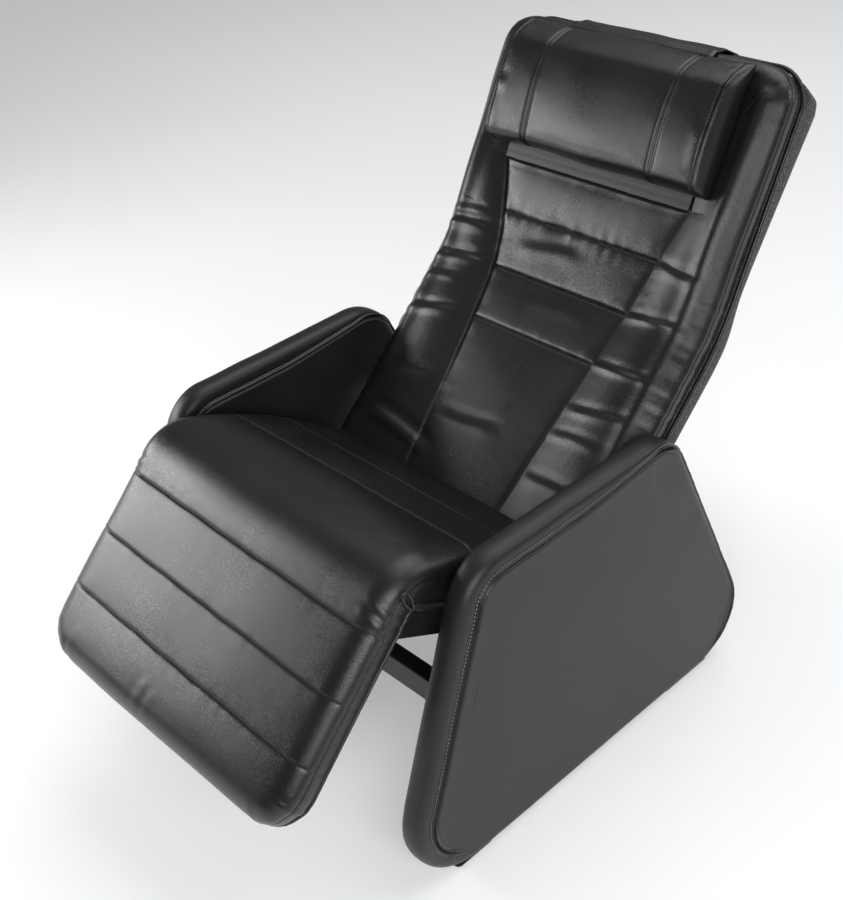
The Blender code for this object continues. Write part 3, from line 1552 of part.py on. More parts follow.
def make_looks():
    return {
        "leather": surface("black leather", (0.012, 0.012, 0.013), 0.42),
        "fabric": surface("black woven fabric", (0.018, 0.018, 0.020), 0.90),
        "plywood": surface("plywood", (0.420, 0.280, 0.150), 0.70),
        "steel": surface("black painted steel", (0.015, 0.015, 0.016), 0.50),
        "bright_steel": surface("bright steel", (0.560, 0.570, 0.580), 0.30, 1.0),
        "black_metal": surface("black metal", (0.020, 0.020, 0.022), 0.45, 0.6),
        "plastic": surface("black plastic", (0.014, 0.014, 0.015), 0.38),
        "nylon": surface("white nylon", (0.700, 0.690, 0.650), 0.50),
        "rubber": surface("black rubber", (0.010, 0.010, 0.010), 0.80),
    }


def clear_scene():
    for made in list(bpy.data.objects):
        bpy.data.objects.remove(made)


def main():
    clear_scene()
    looks = make_looks()
    root = pivot("chair", (0.0, 0.0, 0.0))
    root.location = (0.0, ORIGIN_Y, 0.0)
    seat = pivot("seat_tilt_axis", (0.0, *PIVOT), root)
    back = pivot("back_recline_axis", (0.0, *HINGE), seat)
    tilt_case = pivot("tilt_actuator_axis", (-LEVER_X, *TILT_TAIL), root)
    tilt_rod = pivot("tilt_rod_axis", (-LEVER_X, *TILT_LEVER_END), tilt_case)
    back_case = pivot("back_actuator_axis", (LEVER_X, *BACK_TAIL), seat)
    back_rod = pivot("back_rod_axis", (LEVER_X, *BACK_LEVER_END), back_case)
    rocker_x = -WIDTH / 2
    rockers = [
        (name, pivot(f"{name}_axis", (rocker_x, BEZEL_Y + step * ROCKER_PITCH / 2, BEZEL_Z), root))
        for name, step in (("tilt_rocker", -1), ("back_rocker", 1))
    ]
    build_arms(root, looks)
    build_base(root, looks)
    build_switch(root, rockers, looks)
    build_seat_frame(seat, looks)
    build_decks(seat, looks)
    build_seat_pad(seat, looks)
    build_back_frame(back, looks)
    build_back_shell(back, looks)
    build_back_pad(back, looks)
    build_pillow(back, looks)
    build_drivers(seat, back, looks)
    build_actuator("tilt", TILT_TAIL, TILT_LEVER_END, -LEVER_X, 1, tilt_case, tilt_rod, looks)
    build_actuator("back", BACK_TAIL, BACK_LEVER_END, LEVER_X, -1, back_case, back_rod, looks)


main()
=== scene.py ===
"""The looks of the padded recliner: leather pads, stitched arms, fabric cover, frame finishes.

Metres, +Z up, +X is the sitter's left and -Y is the front. Side view points are (y, z)
pairs. A pad's rows are lengths along its face, its places are X, and heights rise from it.
"""

import math

import bmesh
import bpy
import numpy as np
from mathutils import Matrix, Vector


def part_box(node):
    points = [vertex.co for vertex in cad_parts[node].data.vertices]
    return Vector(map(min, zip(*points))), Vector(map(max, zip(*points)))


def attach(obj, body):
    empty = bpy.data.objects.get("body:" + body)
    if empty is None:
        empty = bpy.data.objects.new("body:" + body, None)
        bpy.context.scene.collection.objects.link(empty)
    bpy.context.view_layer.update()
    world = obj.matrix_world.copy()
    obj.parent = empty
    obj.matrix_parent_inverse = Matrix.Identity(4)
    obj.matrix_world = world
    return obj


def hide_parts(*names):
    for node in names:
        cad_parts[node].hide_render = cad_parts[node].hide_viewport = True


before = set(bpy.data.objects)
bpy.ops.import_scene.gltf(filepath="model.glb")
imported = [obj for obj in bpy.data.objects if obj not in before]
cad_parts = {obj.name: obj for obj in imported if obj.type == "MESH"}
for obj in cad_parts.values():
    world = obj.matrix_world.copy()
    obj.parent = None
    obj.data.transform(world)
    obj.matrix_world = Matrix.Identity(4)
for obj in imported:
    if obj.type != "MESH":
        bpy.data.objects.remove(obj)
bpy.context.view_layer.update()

# The chair's own zero lies behind the model's
ORIGIN_Y = -0.050

# Arm panels
WIDTH = 0.740
ARM_THICKNESS = 0.046
ARM_TOP = 0.578
ARM_TOP_FRONT = -0.240
ARM_TOP_REAR = 0.221
ARM_BASE_FRONT = -0.442
ARM_BASE_REAR = 0.490
ARM_RADII = (0.130, 0.107, 0.100, 0.090)
FOOT_HEIGHT = 0.005
ARM_ROLL = 0.019
ARM_FACE_REACH = 0.085

# Seat and legrest pad, seams measured from the knee and from the crease
SEAT_PAD = 0.065
SEAT_HALF = 0.310
SEAT_CROWN = 0.024
SEAT_LENGTH = 0.429
LEG_CROWN = 0.006
LEG_LENGTH = 0.423
KNEE_RADIUS = 0.085
LEG_END_ROLL = 0.046
LEG_END_SHARE = 0.30
LEG_CORNER = 0.075
LEG_SEAMS = (0.097, 0.203, 0.305)
LEG_SEAM_SKEW = 0.016
SEAT_SEAMS = (0.158, 0.278)
SIDE_ROLL = 0.038
EDGE_SHARE = 0.62
WAIST = 0.003
SEAT_BULGE = 0.002
BASE_INSET = 0.006
SWING_GAP = 0.002
GAP = 0.0003
PUFF_ROOM = 0.001

# Back pad, seams measured from the crease
BACK_PAD = 0.055
BACK_HALF = 0.307
BACK_TAIL = 0.058
BACK_LOWER_LENGTH = 0.414
BACK_UPPER_LENGTH = 0.431
BACK_BEND_RADIUS = 0.350
BACK_CORNER = 0.060
BACK_SEAMS = (0.295, 0.395, 0.495)
BACK_BAND = (0.590, 0.615)
PANEL_BASE_HALF = 0.114
PANEL_TOP_HALF = 0.204
BOLSTER_PUFF = 0.012
WELT_RADIUS = 0.004
WELT_GAP = 0.0005

# Head pillow and its flap
PILLOW_HALF = 0.238
PILLOW_START = 0.622
PILLOW_LENGTH = 0.214
PILLOW_SEAM = 0.139
PILLOW_STANDOFF = 0.009
FLAP_HALF = 0.152
FLAP_THICKNESS = 0.003
FLAP_RADII = (0.020, 0.014, 0.020, 0.030, 0.030)

# Rear cover: lengths from the crease with the depth behind the pad's face
COVER_BOTTOM = 0.110
COVER_WAIST = 0.474
COVER_WALL = 0.003
COVER_EDGE = 0.026
COVER_CORNER = 0.034
COVER_CHAMFER = 0.046
COVER_LOWER_DEPTH = 0.118
COVER_WAIST_DEPTH = 0.101
COVER_UPPER_DEPTH = 0.135
COVER_PULL = 0.0022
COVER_RIPPLE = 0.0006
PIPING_STEP = 0.008

# Noise cells, thread and cloth simulation
CELLS = 64
LATTICE = np.random.default_rng(11).random((CELLS, CELLS)) * 2 - 1
THREAD_RADIUS = 0.0005
ARM_THREAD_RADIUS = 0.0009
SETTLE_FRAMES = 20
SETTLE_MASS = 0.3
SETTLE_PRESSURE = 4.0
SETTLE_STIFFNESS = 12.0
SETTLE_BENDING = 0.4


def heading(angle):
    return np.array((math.cos(angle), math.sin(angle)))


def left_of(way):
    return np.array((-way[1], way[0]))


def turn_between(way, next_way):
    """The angle from one side view direction to the next."""
    return math.atan2(way[0] * next_way[1] - way[1] * next_way[0], way @ next_way)


def unit(vectors):
    return vectors / np.maximum(np.linalg.norm(vectors, axis=-1, keepdims=True), 1e-12)


def smooth(value):
    """A smooth step from 0 to 1."""
    value = np.clip(value, 0.0, 1.0)
    return value * value * (3 - 2 * value)


def bell(distance, wide):
    return np.exp(-((distance / wide) ** 2))


def noise(u, v):
    """Smooth repeatable noise from -1 to 1 over a lattice of unit cells."""
    u, v = np.broadcast_arrays(np.asarray(u, float), np.asarray(v, float))
    iu = np.floor(u).astype(int)
    iv = np.floor(v).astype(int)
    fu = smooth(u - iu)
    fv = smooth(v - iv)

    def between(column):
        first = LATTICE[iu % CELLS, column % CELLS]
        return first * (1 - fu) + LATTICE[(iu + 1) % CELLS, column % CELLS] * fu

    return between(iv) * (1 - fv) + between(iv + 1) * fv


class SidePath:
    """An open side view path of straight runs and arcs, measured by length."""

    def __init__(self, corners, radii):
        self.pieces = []
        self.arrivals = {}
        corners = np.array(corners)
        start = corners[0]
        length = 0.0
        for index in range(1, len(corners)):
            corner = corners[index]
            way = unit(corner - corners[index - 1])
            turn = 0.0
            if index < len(corners) - 1:
                next_way = unit(corners[index + 1] - corner)
                turn = turn_between(way, next_way)
            radius = radii[index - 1] if turn else 0.0
            trim = radius * math.tan(abs(turn) / 2)
            run = np.linalg.norm(corner - start) - trim
            self.pieces.append((length, start, way, 0.0))
            length += run
            start = start + way * run
            self.arrivals[index] = length + trim
            if turn:
                self.pieces.append((length, start, way, math.copysign(1 / radius, turn)))
                length += radius * abs(turn)
                start = corner + next_way * trim
        self.length = length

    def at(self, lengths):
        """Points at lengths along the path, and the unit normals to its left."""
        lengths = np.asarray(lengths, float)
        begins = np.array([piece[0] for piece in self.pieces])
        which = np.clip(np.searchsorted(begins, lengths, side="right") - 1, 0, None)
        points = np.empty(lengths.shape + (2,))
        normals = np.empty(lengths.shape + (2,))
        for index, (begin, start, way, bend) in enumerate(self.pieces):
            mask = which == index
            along = (lengths[mask] - begin)[:, None]
            side = left_of(way)
            if bend:
                turned = bend * along
                bent = way * np.sin(turned) + side * (1 - np.cos(turned))
                points[mask] = start + bent / bend
                normals[mask] = side * np.cos(turned) - way * np.sin(turned)
            else:
                points[mask] = start + way * along
                normals[mask] = side
        return points, normals

    def place(self, lengths, across, over):
        """World points at lengths along, X across and heights over the path."""
        lengths, across, over = np.broadcast_arrays(lengths, across, over)
        points, normals = self.at(lengths.ravel())
        spots = points + normals * over.reshape(-1, 1)
        full = np.column_stack((across.ravel(), spots[:, 0] + ORIGIN_Y, spots[:, 1]))
        return full.reshape(lengths.shape + (3,))


# Side view of the pads' faces
SEAT_WAY = heading(math.radians(-28.0))
LEG_WAY = heading(math.radians(45.0))
BACK_WAY = heading(math.radians(43.0))
BACK_FRONT = left_of(BACK_WAY)
BACK_UPPER_WAY = heading(math.radians(61.0))
CREASE = np.array((0.07001, 0.38731))
KNEE = CREASE - SEAT_WAY * SEAT_LENGTH
LEG_END = KNEE - LEG_WAY * LEG_LENGTH
BACK_BEND = CREASE + BACK_WAY * BACK_LOWER_LENGTH
BACK_TOP = BACK_BEND + BACK_UPPER_WAY * BACK_UPPER_LENGTH
HINGE = np.array((0.06745, 0.27814))
SEAT_PATH = SidePath((LEG_END, KNEE, CREASE), (KNEE_RADIUS,))
BACK_PATH = SidePath((CREASE, BACK_BEND, BACK_TOP), (BACK_BEND_RADIUS,))
BACK_LENGTH = BACK_PATH.length


# Meshes
def mesh_object(name, verts, faces, smooth_angle=50.0):
    mesh = bpy.data.meshes.new(name)
    mesh.from_pydata([tuple(v) for v in verts], [], [tuple(f) for f in faces])
    mesh.validate()
    shape = bmesh.new()
    shape.from_mesh(mesh)
    bmesh.ops.recalc_face_normals(shape, faces=shape.faces)
    return shaped_object(name, shape, mesh, smooth_angle)


def linked(name, data):
    """A new object in the scene."""
    piece = bpy.data.objects.new(name, data)
    bpy.context.scene.collection.objects.link(piece)
    return piece


def shaped_object(name, shape, mesh, smooth_angle):
    """An object of an edited mesh, shaded smooth but for its sharp edges."""
    shape.to_mesh(mesh)
    shape.free()
    mesh.polygons.foreach_set("use_smooth", [True] * len(mesh.polygons))
    mesh.set_sharp_from_angle(angle=math.radians(smooth_angle))
    return linked(name, mesh)


def grid_faces(rows, columns):
    """Quads of a grid whose columns close into rings."""
    index = np.arange(rows * columns).reshape(rows, columns)
    following = np.roll(index, -1, axis=1)
    quads = np.stack((index[:-1], following[:-1], following[1:], index[1:]), axis=-1)
    return quads.reshape(-1, 4)


def ring_object(name, rings, smooth_angle=50.0):
    """A closed body through rings of points, capped at both ends."""
    rows, columns = rings.shape[:2]
    faces = grid_faces(rows, columns).tolist()
    faces.append(list(range(columns)))
    faces.append(list(range((rows - 1) * columns, rows * columns)))
    return mesh_object(name, rings.reshape(-1, 3), faces, smooth_angle)


def grid_normals(points):
    """Unit normals of a grid of points."""
    return unit(np.cross(np.gradient(points, axis=1), np.gradient(points, axis=0)))


# A direction that no piping runs along
TUBE_ASIDE = (0.0, 0.31, 0.95)


def tube(name, line, radius, sides):
    """A round tube along a line of points."""
    line = np.asarray(line, float)
    way = unit(np.gradient(line, axis=0))
    side = unit(np.cross(way, TUBE_ASIDE))
    up = np.cross(side, way)
    angles = np.linspace(0, 2 * math.pi, sides, endpoint=False)[None, :, None]
    radii = np.broadcast_to(radius, (len(line),))[:, None, None]
    round_it = np.cos(angles) * side[:, None] + np.sin(angles) * up[:, None]
    return ring_object(name, line[:, None] + radii * round_it)


def dressed(piece, material, body):
    """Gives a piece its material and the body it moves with."""
    piece.data.materials.append(material)
    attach(piece, body)
    return piece


def run_along(line):
    """The length from a line's first point to each of its points."""
    steps = np.linalg.norm(np.diff(line, axis=0), axis=1)
    return np.concatenate(((0.0,), np.cumsum(steps)))


STITCH = 0.0042
STITCH_PITCH = 0.0062
STITCH_SHARES = np.array((-0.5, -0.32, 0.0, 0.32, 0.5))
STITCH_LIFTS = np.array((0.0, 0.35, 0.65, 0.35, 0.0))
STITCH_SIZES = np.array((0.25, 0.85, 1.0, 0.85, 0.25))
STITCH_SIDES = 6


def stitches(name, seams, body, thread=None, radius=THREAD_RADIUS):
    """Thread along seams, each a line of points with its normals: short raised spindles."""
    angles = np.linspace(0, 2 * math.pi, STITCH_SIDES, endpoint=False)
    verts = []
    for line, normals in seams:
        run = run_along(line)
        middles = np.arange(STITCH_PITCH / 2, run[-1], STITCH_PITCH)
        spots = middles[:, None] + STITCH * STITCH_SHARES
        spine = np.stack([np.interp(spots, run, line[:, k]) for k in range(3)], axis=-1)
        up = unit(np.stack([np.interp(middles, run, normals[:, k]) for k in range(3)], axis=-1))
        side = np.cross(unit(spine[:, -1] - spine[:, 0]), up)
        rise = STITCH_LIFTS[:, None] + STITCH_SIZES[:, None] * np.sin(angles)
        swing = STITCH_SIZES[:, None] * np.cos(angles)
        lifted = up[:, None, None] * rise[None, ..., None]
        swung = side[:, None, None] * swing[None, ..., None]
        ring = spine[:, :, None] + radius * (lifted + swung)
        verts.append(ring.reshape(-1, 3))
    verts = np.concatenate(verts)
    each = len(STITCH_SHARES) * STITCH_SIDES
    quads = grid_faces(len(STITCH_SHARES), STITCH_SIDES)
    faces = []
    for base in range(0, len(verts), each):
        faces += (quads + base).tolist()
        faces.append(list(range(base, base + STITCH_SIDES)))
        faces.append(list(range(base + each - STITCH_SIDES, base + each)))
    dressed(mesh_object(name, verts, faces, 80.0), thread or THREAD, body)


def settle(rings, held):
    """Blows a coarse closed pad up as cloth, and gives the share each point moved outwards."""
    rows, columns = rings.shape[:2]
    scene = bpy.context.scene
    piece = ring_object("settling", rings)
    group = piece.vertex_groups.new(name="held")
    for index in np.flatnonzero(held.ravel()):
        group.add([int(index)], 1.0, "REPLACE")
    cloth = piece.modifiers.new("cloth", "CLOTH")
    cloth.settings.quality = 6
    cloth.settings.mass = SETTLE_MASS
    cloth.settings.use_pressure = True
    cloth.settings.uniform_pressure_force = SETTLE_PRESSURE
    cloth.settings.effector_weights.gravity = 0.0
    cloth.settings.vertex_group_mass = group.name
    cloth.settings.tension_stiffness = SETTLE_STIFFNESS
    cloth.settings.compression_stiffness = SETTLE_STIFFNESS
    cloth.settings.bending_stiffness = SETTLE_BENDING
    cloth.collision_settings.use_collision = False
    for step in range(1, SETTLE_FRAMES + 1):
        scene.frame_set(step)
    result = piece.evaluated_get(bpy.context.evaluated_depsgraph_get())
    blown = np.empty(len(result.data.vertices) * 3)
    result.data.vertices.foreach_get("co", blown)
    scene.frame_set(1)
    mesh = piece.data
    bpy.data.objects.remove(piece)
    bpy.data.meshes.remove(mesh)
    moved = ((blown.reshape(rows, columns, 3) - rings) * grid_normals(rings)).sum(axis=2)
    if abs(moved.min()) > moved.max():
        moved = -moved
    return np.clip(moved / max(moved.max(), 1e-6), 0.0, 1.0)


# Materials
class Look:
    """A material with its shader and short ways to add and join nodes."""

    def __init__(self, name, metallic=0.0, specular=0.5):
        self.material = bpy.data.materials.new(name)
        self.material.use_nodes = True
        self.tree = self.material.node_tree
        self.shader = self.tree.nodes["Principled BSDF"]
        self.shader.inputs["Metallic"].default_value = metallic
        self.shader.inputs["Specular IOR Level"].default_value = specular
        self.coords = self.tree.nodes.new("ShaderNodeTexCoord").outputs["Object"]

    def node(self, kind, values, links):
        """A new node with some inputs set and others linked."""
        node = self.tree.nodes.new(kind)
        for name, value in values.items():
            node.inputs[name].default_value = value
        for name, output in links.items():
            self.tree.links.new(output, node.inputs[name])
        return node

    def noise(self, scale, detail=3.0, rough=0.55, stretch=None):
        vector = self.coords
        if stretch is not None:
            mapped = self.node("ShaderNodeMapping", {"Scale": stretch}, {"Vector": vector})
            vector = mapped.outputs["Vector"]
        values = {"Scale": scale, "Detail": detail, "Roughness": rough}
        return self.node("ShaderNodeTexNoise", values, {"Vector": vector}).outputs["Fac"]

    def cells(self, scale):
        node = self.node("ShaderNodeTexVoronoi", {"Scale": scale}, {"Vector": self.coords})
        node.feature = "DISTANCE_TO_EDGE"
        return node.outputs["Distance"]

    def waves(self, scale, direction, distortion):
        values = {"Scale": scale, "Distortion": distortion}
        node = self.node("ShaderNodeTexWave", values, {"Vector": self.coords})
        node.bands_direction = direction
        return node.outputs["Fac"]

    def ramp(self, value, stops):
        node = self.node("ShaderNodeValToRGB", {}, {"Fac": value})
        elements = node.color_ramp.elements
        while len(elements) < len(stops):
            elements.new(0.5)
        for element, (place, colour) in zip(elements, stops):
            element.position = place
            element.color = (*colour, 1.0)
        return node.outputs["Color"]

    def spread(self, value, low, high, first=0.3, last=0.7):
        ends = {"From Min": first, "From Max": last, "To Min": low, "To Max": high}
        return self.node("ShaderNodeMapRange", ends, {"Value": value}).outputs["Result"]

    def math(self, kind, first, second):
        node = self.node("ShaderNodeMath", {}, {0: first, 1: second})
        node.operation = kind
        return node.outputs["Value"]

    def colour(self, value):
        self.tree.links.new(value, self.shader.inputs["Base Color"])

    def roughness(self, value):
        self.tree.links.new(value, self.shader.inputs["Roughness"])

    def bump(self, height, distance, strength, under=None):
        links = {"Height": height} if under is None else {"Height": height, "Normal": under}
        values = {"Strength": strength, "Distance": distance}
        normal = self.node("ShaderNodeBump", values, links).outputs["Normal"]
        self.tree.links.new(normal, self.shader.inputs["Normal"])
        return normal


def grey(value, blue=1.03):
    return (value, value, value * blue)


def leather_look(name, low, high, smoothest, roughest, specular=0.5):
    """Satin faux leather: pebbled grain, fine creases and slow changes of shade and gloss."""
    look = Look(name, specular=specular)
    slow = look.noise(7.0, 4.0)
    fine = look.noise(420.0, 3.0, 0.6)
    look.colour(look.ramp(slow, ((0.3, grey(low)), (0.7, grey(high)))))
    uneven = look.math("ADD", slow, fine)
    look.roughness(look.spread(uneven, smoothest, roughest, 0.7, 1.3))
    grain = look.bump(look.cells(740.0), 0.0004, 0.58)
    creased = look.bump(fine, 0.0003, 0.38, grain)
    look.bump(look.noise(30.0, 2.0), 0.0010, 0.15, creased)
    return look.material


def woven_look(name):
    """Dark speckled upholstery fabric with a visible weave."""
    look = Look(name, specular=0.2)
    speck = look.noise(380.0, 2.0, 0.8)
    look.colour(look.ramp(speck, ((0.46, grey(0.004)), (0.58, grey(0.015)), (0.68, grey(0.28)))))
    look.roughness(look.spread(look.noise(90.0), 0.82, 0.98))
    first = look.bump(look.waves(260.0, "X", 1.5), 0.0005, 0.7)
    second = look.bump(look.waves(260.0, "Z", 1.5), 0.0005, 0.7, first)
    look.bump(look.noise(30.0), 0.0015, 0.3, second)
    look.shader.inputs["Sheen Weight"].default_value = 0.25
    return look.material


def steel_look(name, low, high, metallic, smoothest, roughest, grain=None):
    """Metal or painted metal with orange peel or brushing, and scuffs."""
    look = Look(name, metallic)
    patches = look.noise(18.0, 5.0, 0.6)
    look.colour(look.ramp(patches, ((0.35, grey(low)), (0.68, grey(high)))))
    scuffs = look.noise(140.0, 3.0, 0.7, grain)
    look.roughness(look.spread(scuffs, smoothest, roughest))
    look.bump(scuffs, 0.0002, 0.4)
    return look.material


def plywood_look():
    """Plywood in dark black-brown tones, with its grain."""
    look = Look("plywood", specular=0.35)
    grain = look.noise(38.0, 6.0, 0.65, (0.25, 3.0, 3.0))
    dark, middle, pale = (0.012, 0.009, 0.007), (0.021, 0.016, 0.012), (0.034, 0.026, 0.019)
    look.colour(look.ramp(grain, ((0.32, dark), (0.52, middle), (0.7, pale))))
    look.roughness(look.spread(grain, 0.5, 0.72))
    look.bump(grain, 0.0006, 0.5)
    return look.material


def moulded_look(name, low, high, smoothest, roughest, texture):
    """Moulded plastic, nylon or rubber with a fine spark texture."""
    look = Look(name)
    look.colour(look.ramp(look.noise(24.0), ((0.3, low), (0.7, high))))
    fine = look.noise(texture, 2.0, 0.7)
    look.roughness(look.spread(fine, smoothest, roughest))
    look.bump(fine, 0.0003, 0.45)
    return look.material


LEATHER = leather_look("black_leather", 0.006, 0.010, 0.25, 0.34)
ARM_LEATHER = leather_look("arm_leather", 0.009, 0.014, 0.34, 0.44, 0.40)
BAND_LEATHER = leather_look("band_leather", 0.022, 0.032, 0.42, 0.52)
THREAD = moulded_look("thread", grey(0.030), grey(0.050), 0.45, 0.60, 900.0)
# Light grey arm thread: partly the thread's own grey, partly a painted highlight along the arms'
# seams
ARM_THREAD_PAINTED_HIGHLIGHT = moulded_look("arm_thread_painted_highlight", grey(0.190), grey(0.270), 0.40, 0.55, 900.0)
FABRIC = woven_look("speckled_fabric")
SLOT_LOOKS = {
    "leather": LEATHER,
    "fabric": FABRIC,
    "plywood": plywood_look(),
    "steel": steel_look("painted_steel", 0.008, 0.014, 0.0, 0.34, 0.50),
    "bright_steel": steel_look("bright_steel", 0.50, 0.62, 1.0, 0.18, 0.36, (1.0, 12.0, 12.0)),
    "black_metal": steel_look("black_metal", 0.020, 0.035, 0.0, 0.40, 0.58),
    "plastic": moulded_look("black_plastic", grey(0.022), grey(0.032), 0.38, 0.52, 700.0),
    "nylon": moulded_look("pale_nylon", (0.66, 0.64, 0.58), (0.74, 0.72, 0.66), 0.38, 0.50, 500.0),
    "rubber": moulded_look("black_rubber", grey(0.012), grey(0.020), 0.65, 0.80, 400.0),
}


def dress_nodes():
    """Gives each part of the model the finish of its slot."""
    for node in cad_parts.values():
        for place in node.material_slots:
            place.material = SLOT_LOOKS[place.material.name.split(".")[0]]


# Pads
def mirrored(steps):
    """Steps to both sides of a seam, and the seam itself."""
    return (*(-step for step in reversed(steps)), 0.0, *steps)


SEAM_STEPS = mirrored((0.0012, 0.0026, 0.0042, 0.0060, 0.0085))
SEAM_REACH = 0.0105
STITCH_OFF = 0.0042
ROLL_STEPS = np.radians((8, 17, 26, 35, 44, 53, 62, 71, 80, 90))
SIDE_STEPS = np.array((0.05, 0.10, 0.17, 0.30, 0.46, 0.64, 0.82, 1.0))
SKIP = len(SIDE_STEPS)
LEG_END_STEPS = (0, 10, 18, 26, 33, 40, 47, 54, 61)
BACK_TOP_STEPS = (44, 34, 25, 16, 0)
BOXING_SEAM = 0.0014


def sewn_rows(start, end, step, seams):
    """Even rows, with close ones at each seam."""
    rows = list(np.arange(start, end, step)) + [end]
    rows = [row for row in rows if all(abs(row - seam) > SEAM_REACH for seam in seams)]
    rows += [seam + offset for seam in seams for offset in SEAM_STEPS]
    return np.array(sorted(row for row in rows if start <= row <= end))


def roll_factor(distance, roll, least):
    """How much of its full height a pad has near an edge: a quarter round."""
    share = np.clip(distance / roll, 0.0, 1.0)
    return least + (1 - least) * np.sqrt(1 - (1 - share) ** 2)


def corner_width(distance, half, radius):
    """The half width of an outline near its rounded end."""
    inside = np.clip(radius**2 - (radius - np.minimum(distance, radius)) ** 2, 0.0, None)
    return half - radius + np.sqrt(inside)


def groove(distance, deep, wide):
    """A sewn seam: a soft valley with a sharp line in it."""
    return deep * (0.5 * bell(distance, wide) + 0.5 * bell(distance, 0.0013))


def puckers(distance, along, seed, deep, reach=0.016, wave=0.013):
    """Small gathers that run away from a seam."""
    return deep * noise(along / wave, seed + distance / 0.06) * np.exp(-np.abs(distance) / reach)


def fold(row, place, wrinkle):
    """A soft wrinkle between two points of a pad's face: a ridge with a dip above it."""
    wrinkle = np.array(wrinkle) / 1000
    start, end, (wide, high) = wrinkle.reshape(3, 2)
    way = end - start
    size = np.linalg.norm(way)
    way = way / size
    along = (row - start[0]) * way[0] + (place - start[1]) * way[1]
    off = (row - start[0]) * abs(way[1]) - (place - start[1]) * way[0] * math.copysign(1, way[1])
    off = off + 0.3 * wide * np.sin(along / size * 5.0 + start[0] * 60)
    fade = smooth(along / (0.3 * size)) * smooth((size - along) / (0.3 * size))
    return high * fade * (bell(off, wide) - 0.8 * bell(off - 1.5 * wide, 0.9 * wide))


def folds(row, place, table):
    return sum(fold(row, place, wrinkle) for wrinkle in table)


class Pad:
    """A pad's grid of points, from its right base edge over the top to its left one."""

    def __init__(self, path, rows, half_of, inner_of, height, depth, bulge, skew=None):
        halves = [float(half_of(row)) for row in rows]
        places = []
        for row, half in zip(rows, halves):
            rolled = half - SIDE_ROLL * (1 - np.sin(ROLL_STEPS))
            right = np.concatenate((inner_of(row, half), rolled))
            places.append(np.concatenate((-right[::-1], right[1:])))
        self.rows = rows
        self.tops = np.array(places)
        self.halves = np.array(halves)[:, None]
        rises = height(rows[:, None], self.tops, self.halves)
        edge = self.halves + bulge * np.sin(math.pi * SIDE_STEPS) - BASE_INSET * SIDE_STEPS**2
        self.places = np.hstack((-edge[:, ::-1], self.tops, edge))
        left = rises[:, :1] * (1 - SIDE_STEPS[::-1])
        right = rises[:, -1:] * (1 - SIDE_STEPS)
        self.over = np.hstack((left, rises, right))
        self.lengths = np.broadcast_to(rows[:, None], self.places.shape)
        laid = self.lengths if skew is None else self.lengths + skew(self.lengths, self.places)
        self.points = path.place(laid, self.places, self.over - depth)

    def read(self, coarse, values):
        """A coarser pad's values at this one's points."""
        tops = values[:, SKIP:-SKIP]
        read = np.empty(self.places.shape)
        for index, row in enumerate(self.rows):
            spot = np.interp(row, coarse.rows, np.arange(len(coarse.rows)))
            low = min(int(spot), len(coarse.rows) - 2)
            first = np.interp(self.places[index], coarse.tops[low], tops[low])
            second = np.interp(self.places[index], coarse.tops[low + 1], tops[low + 1])
            read[index] = first + (second - first) * (spot - low)
        return read

    def swell(self, move):
        """Moves the points along their normals, less near the base, and sews the boxing on."""
        move = move * smooth((self.over + 0.004) / 0.02)
        move[:, SKIP - 1] -= BOXING_SEAM
        move[:, -SKIP] -= BOXING_SEAM
        self.points = self.points + grid_normals(self.points) * move[..., None]

    def line(self, row, low=-1.0, high=1.0):
        """A line of points across the pad's top along one row, with its normals."""
        index = int(np.argmin(np.abs(self.rows - row)))
        kept = np.flatnonzero((self.places[index] > low) & (self.places[index] < high))
        kept = kept[(kept >= SKIP) & (kept < self.places.shape[1] - SKIP)]
        return self.points[index, kept], grid_normals(self.points)[index, kept]

    def upright(self, place_of, first, last):
        """A line of points along the rows at a place that changes with them."""
        kept = np.flatnonzero((self.rows > first) & (self.rows < last))
        column = [int(np.argmin(np.abs(self.places[i] - place_of(self.rows[i])))) for i in kept]
        return self.points[kept, column], grid_normals(self.points)[kept, column]

    def finish(self, name, body, node):
        piece = dressed(ring_object(name, self.points, 60.0), LEATHER, body)
        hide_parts(node)


LEG_PUFF = 0.0036
SEAT_PUFF = 0.0055
LEG_SEAM_DEEP = 0.0020
SEAT_SEAM_DEEP = 0.0015
SEAT_SEAM_WIDE = 0.0034
SEAT_PUCKER = 0.0003
SEAT_UNEVEN = 0.0009
CORNER_GATHER = 0.0013
PIPING_RADIUS = 0.0030
# Wrinkles in millimetres: row and place of the start and of the end, width and height
SEAT_FOLDS = (
    (14, -245, 70, -222, 9, 0.6),
    (16, -50, 82, -26, 9, 0.7),
    (16, -20, 74, 0, 8, 0.5),
    (352, 262, 338, 314, 5, 2.2),
    (368, 270, 358, 314, 5, 1.8),
    (352, -268, 340, -314, 5, 1.6),
    (640, -300, 655, -150, 14, 2.2),
    (655, 300, 650, 160, 14, 2.2),
    (765, -290, 748, -120, 13, 2.8),
    (770, 290, 752, 130, 13, 2.6),
)


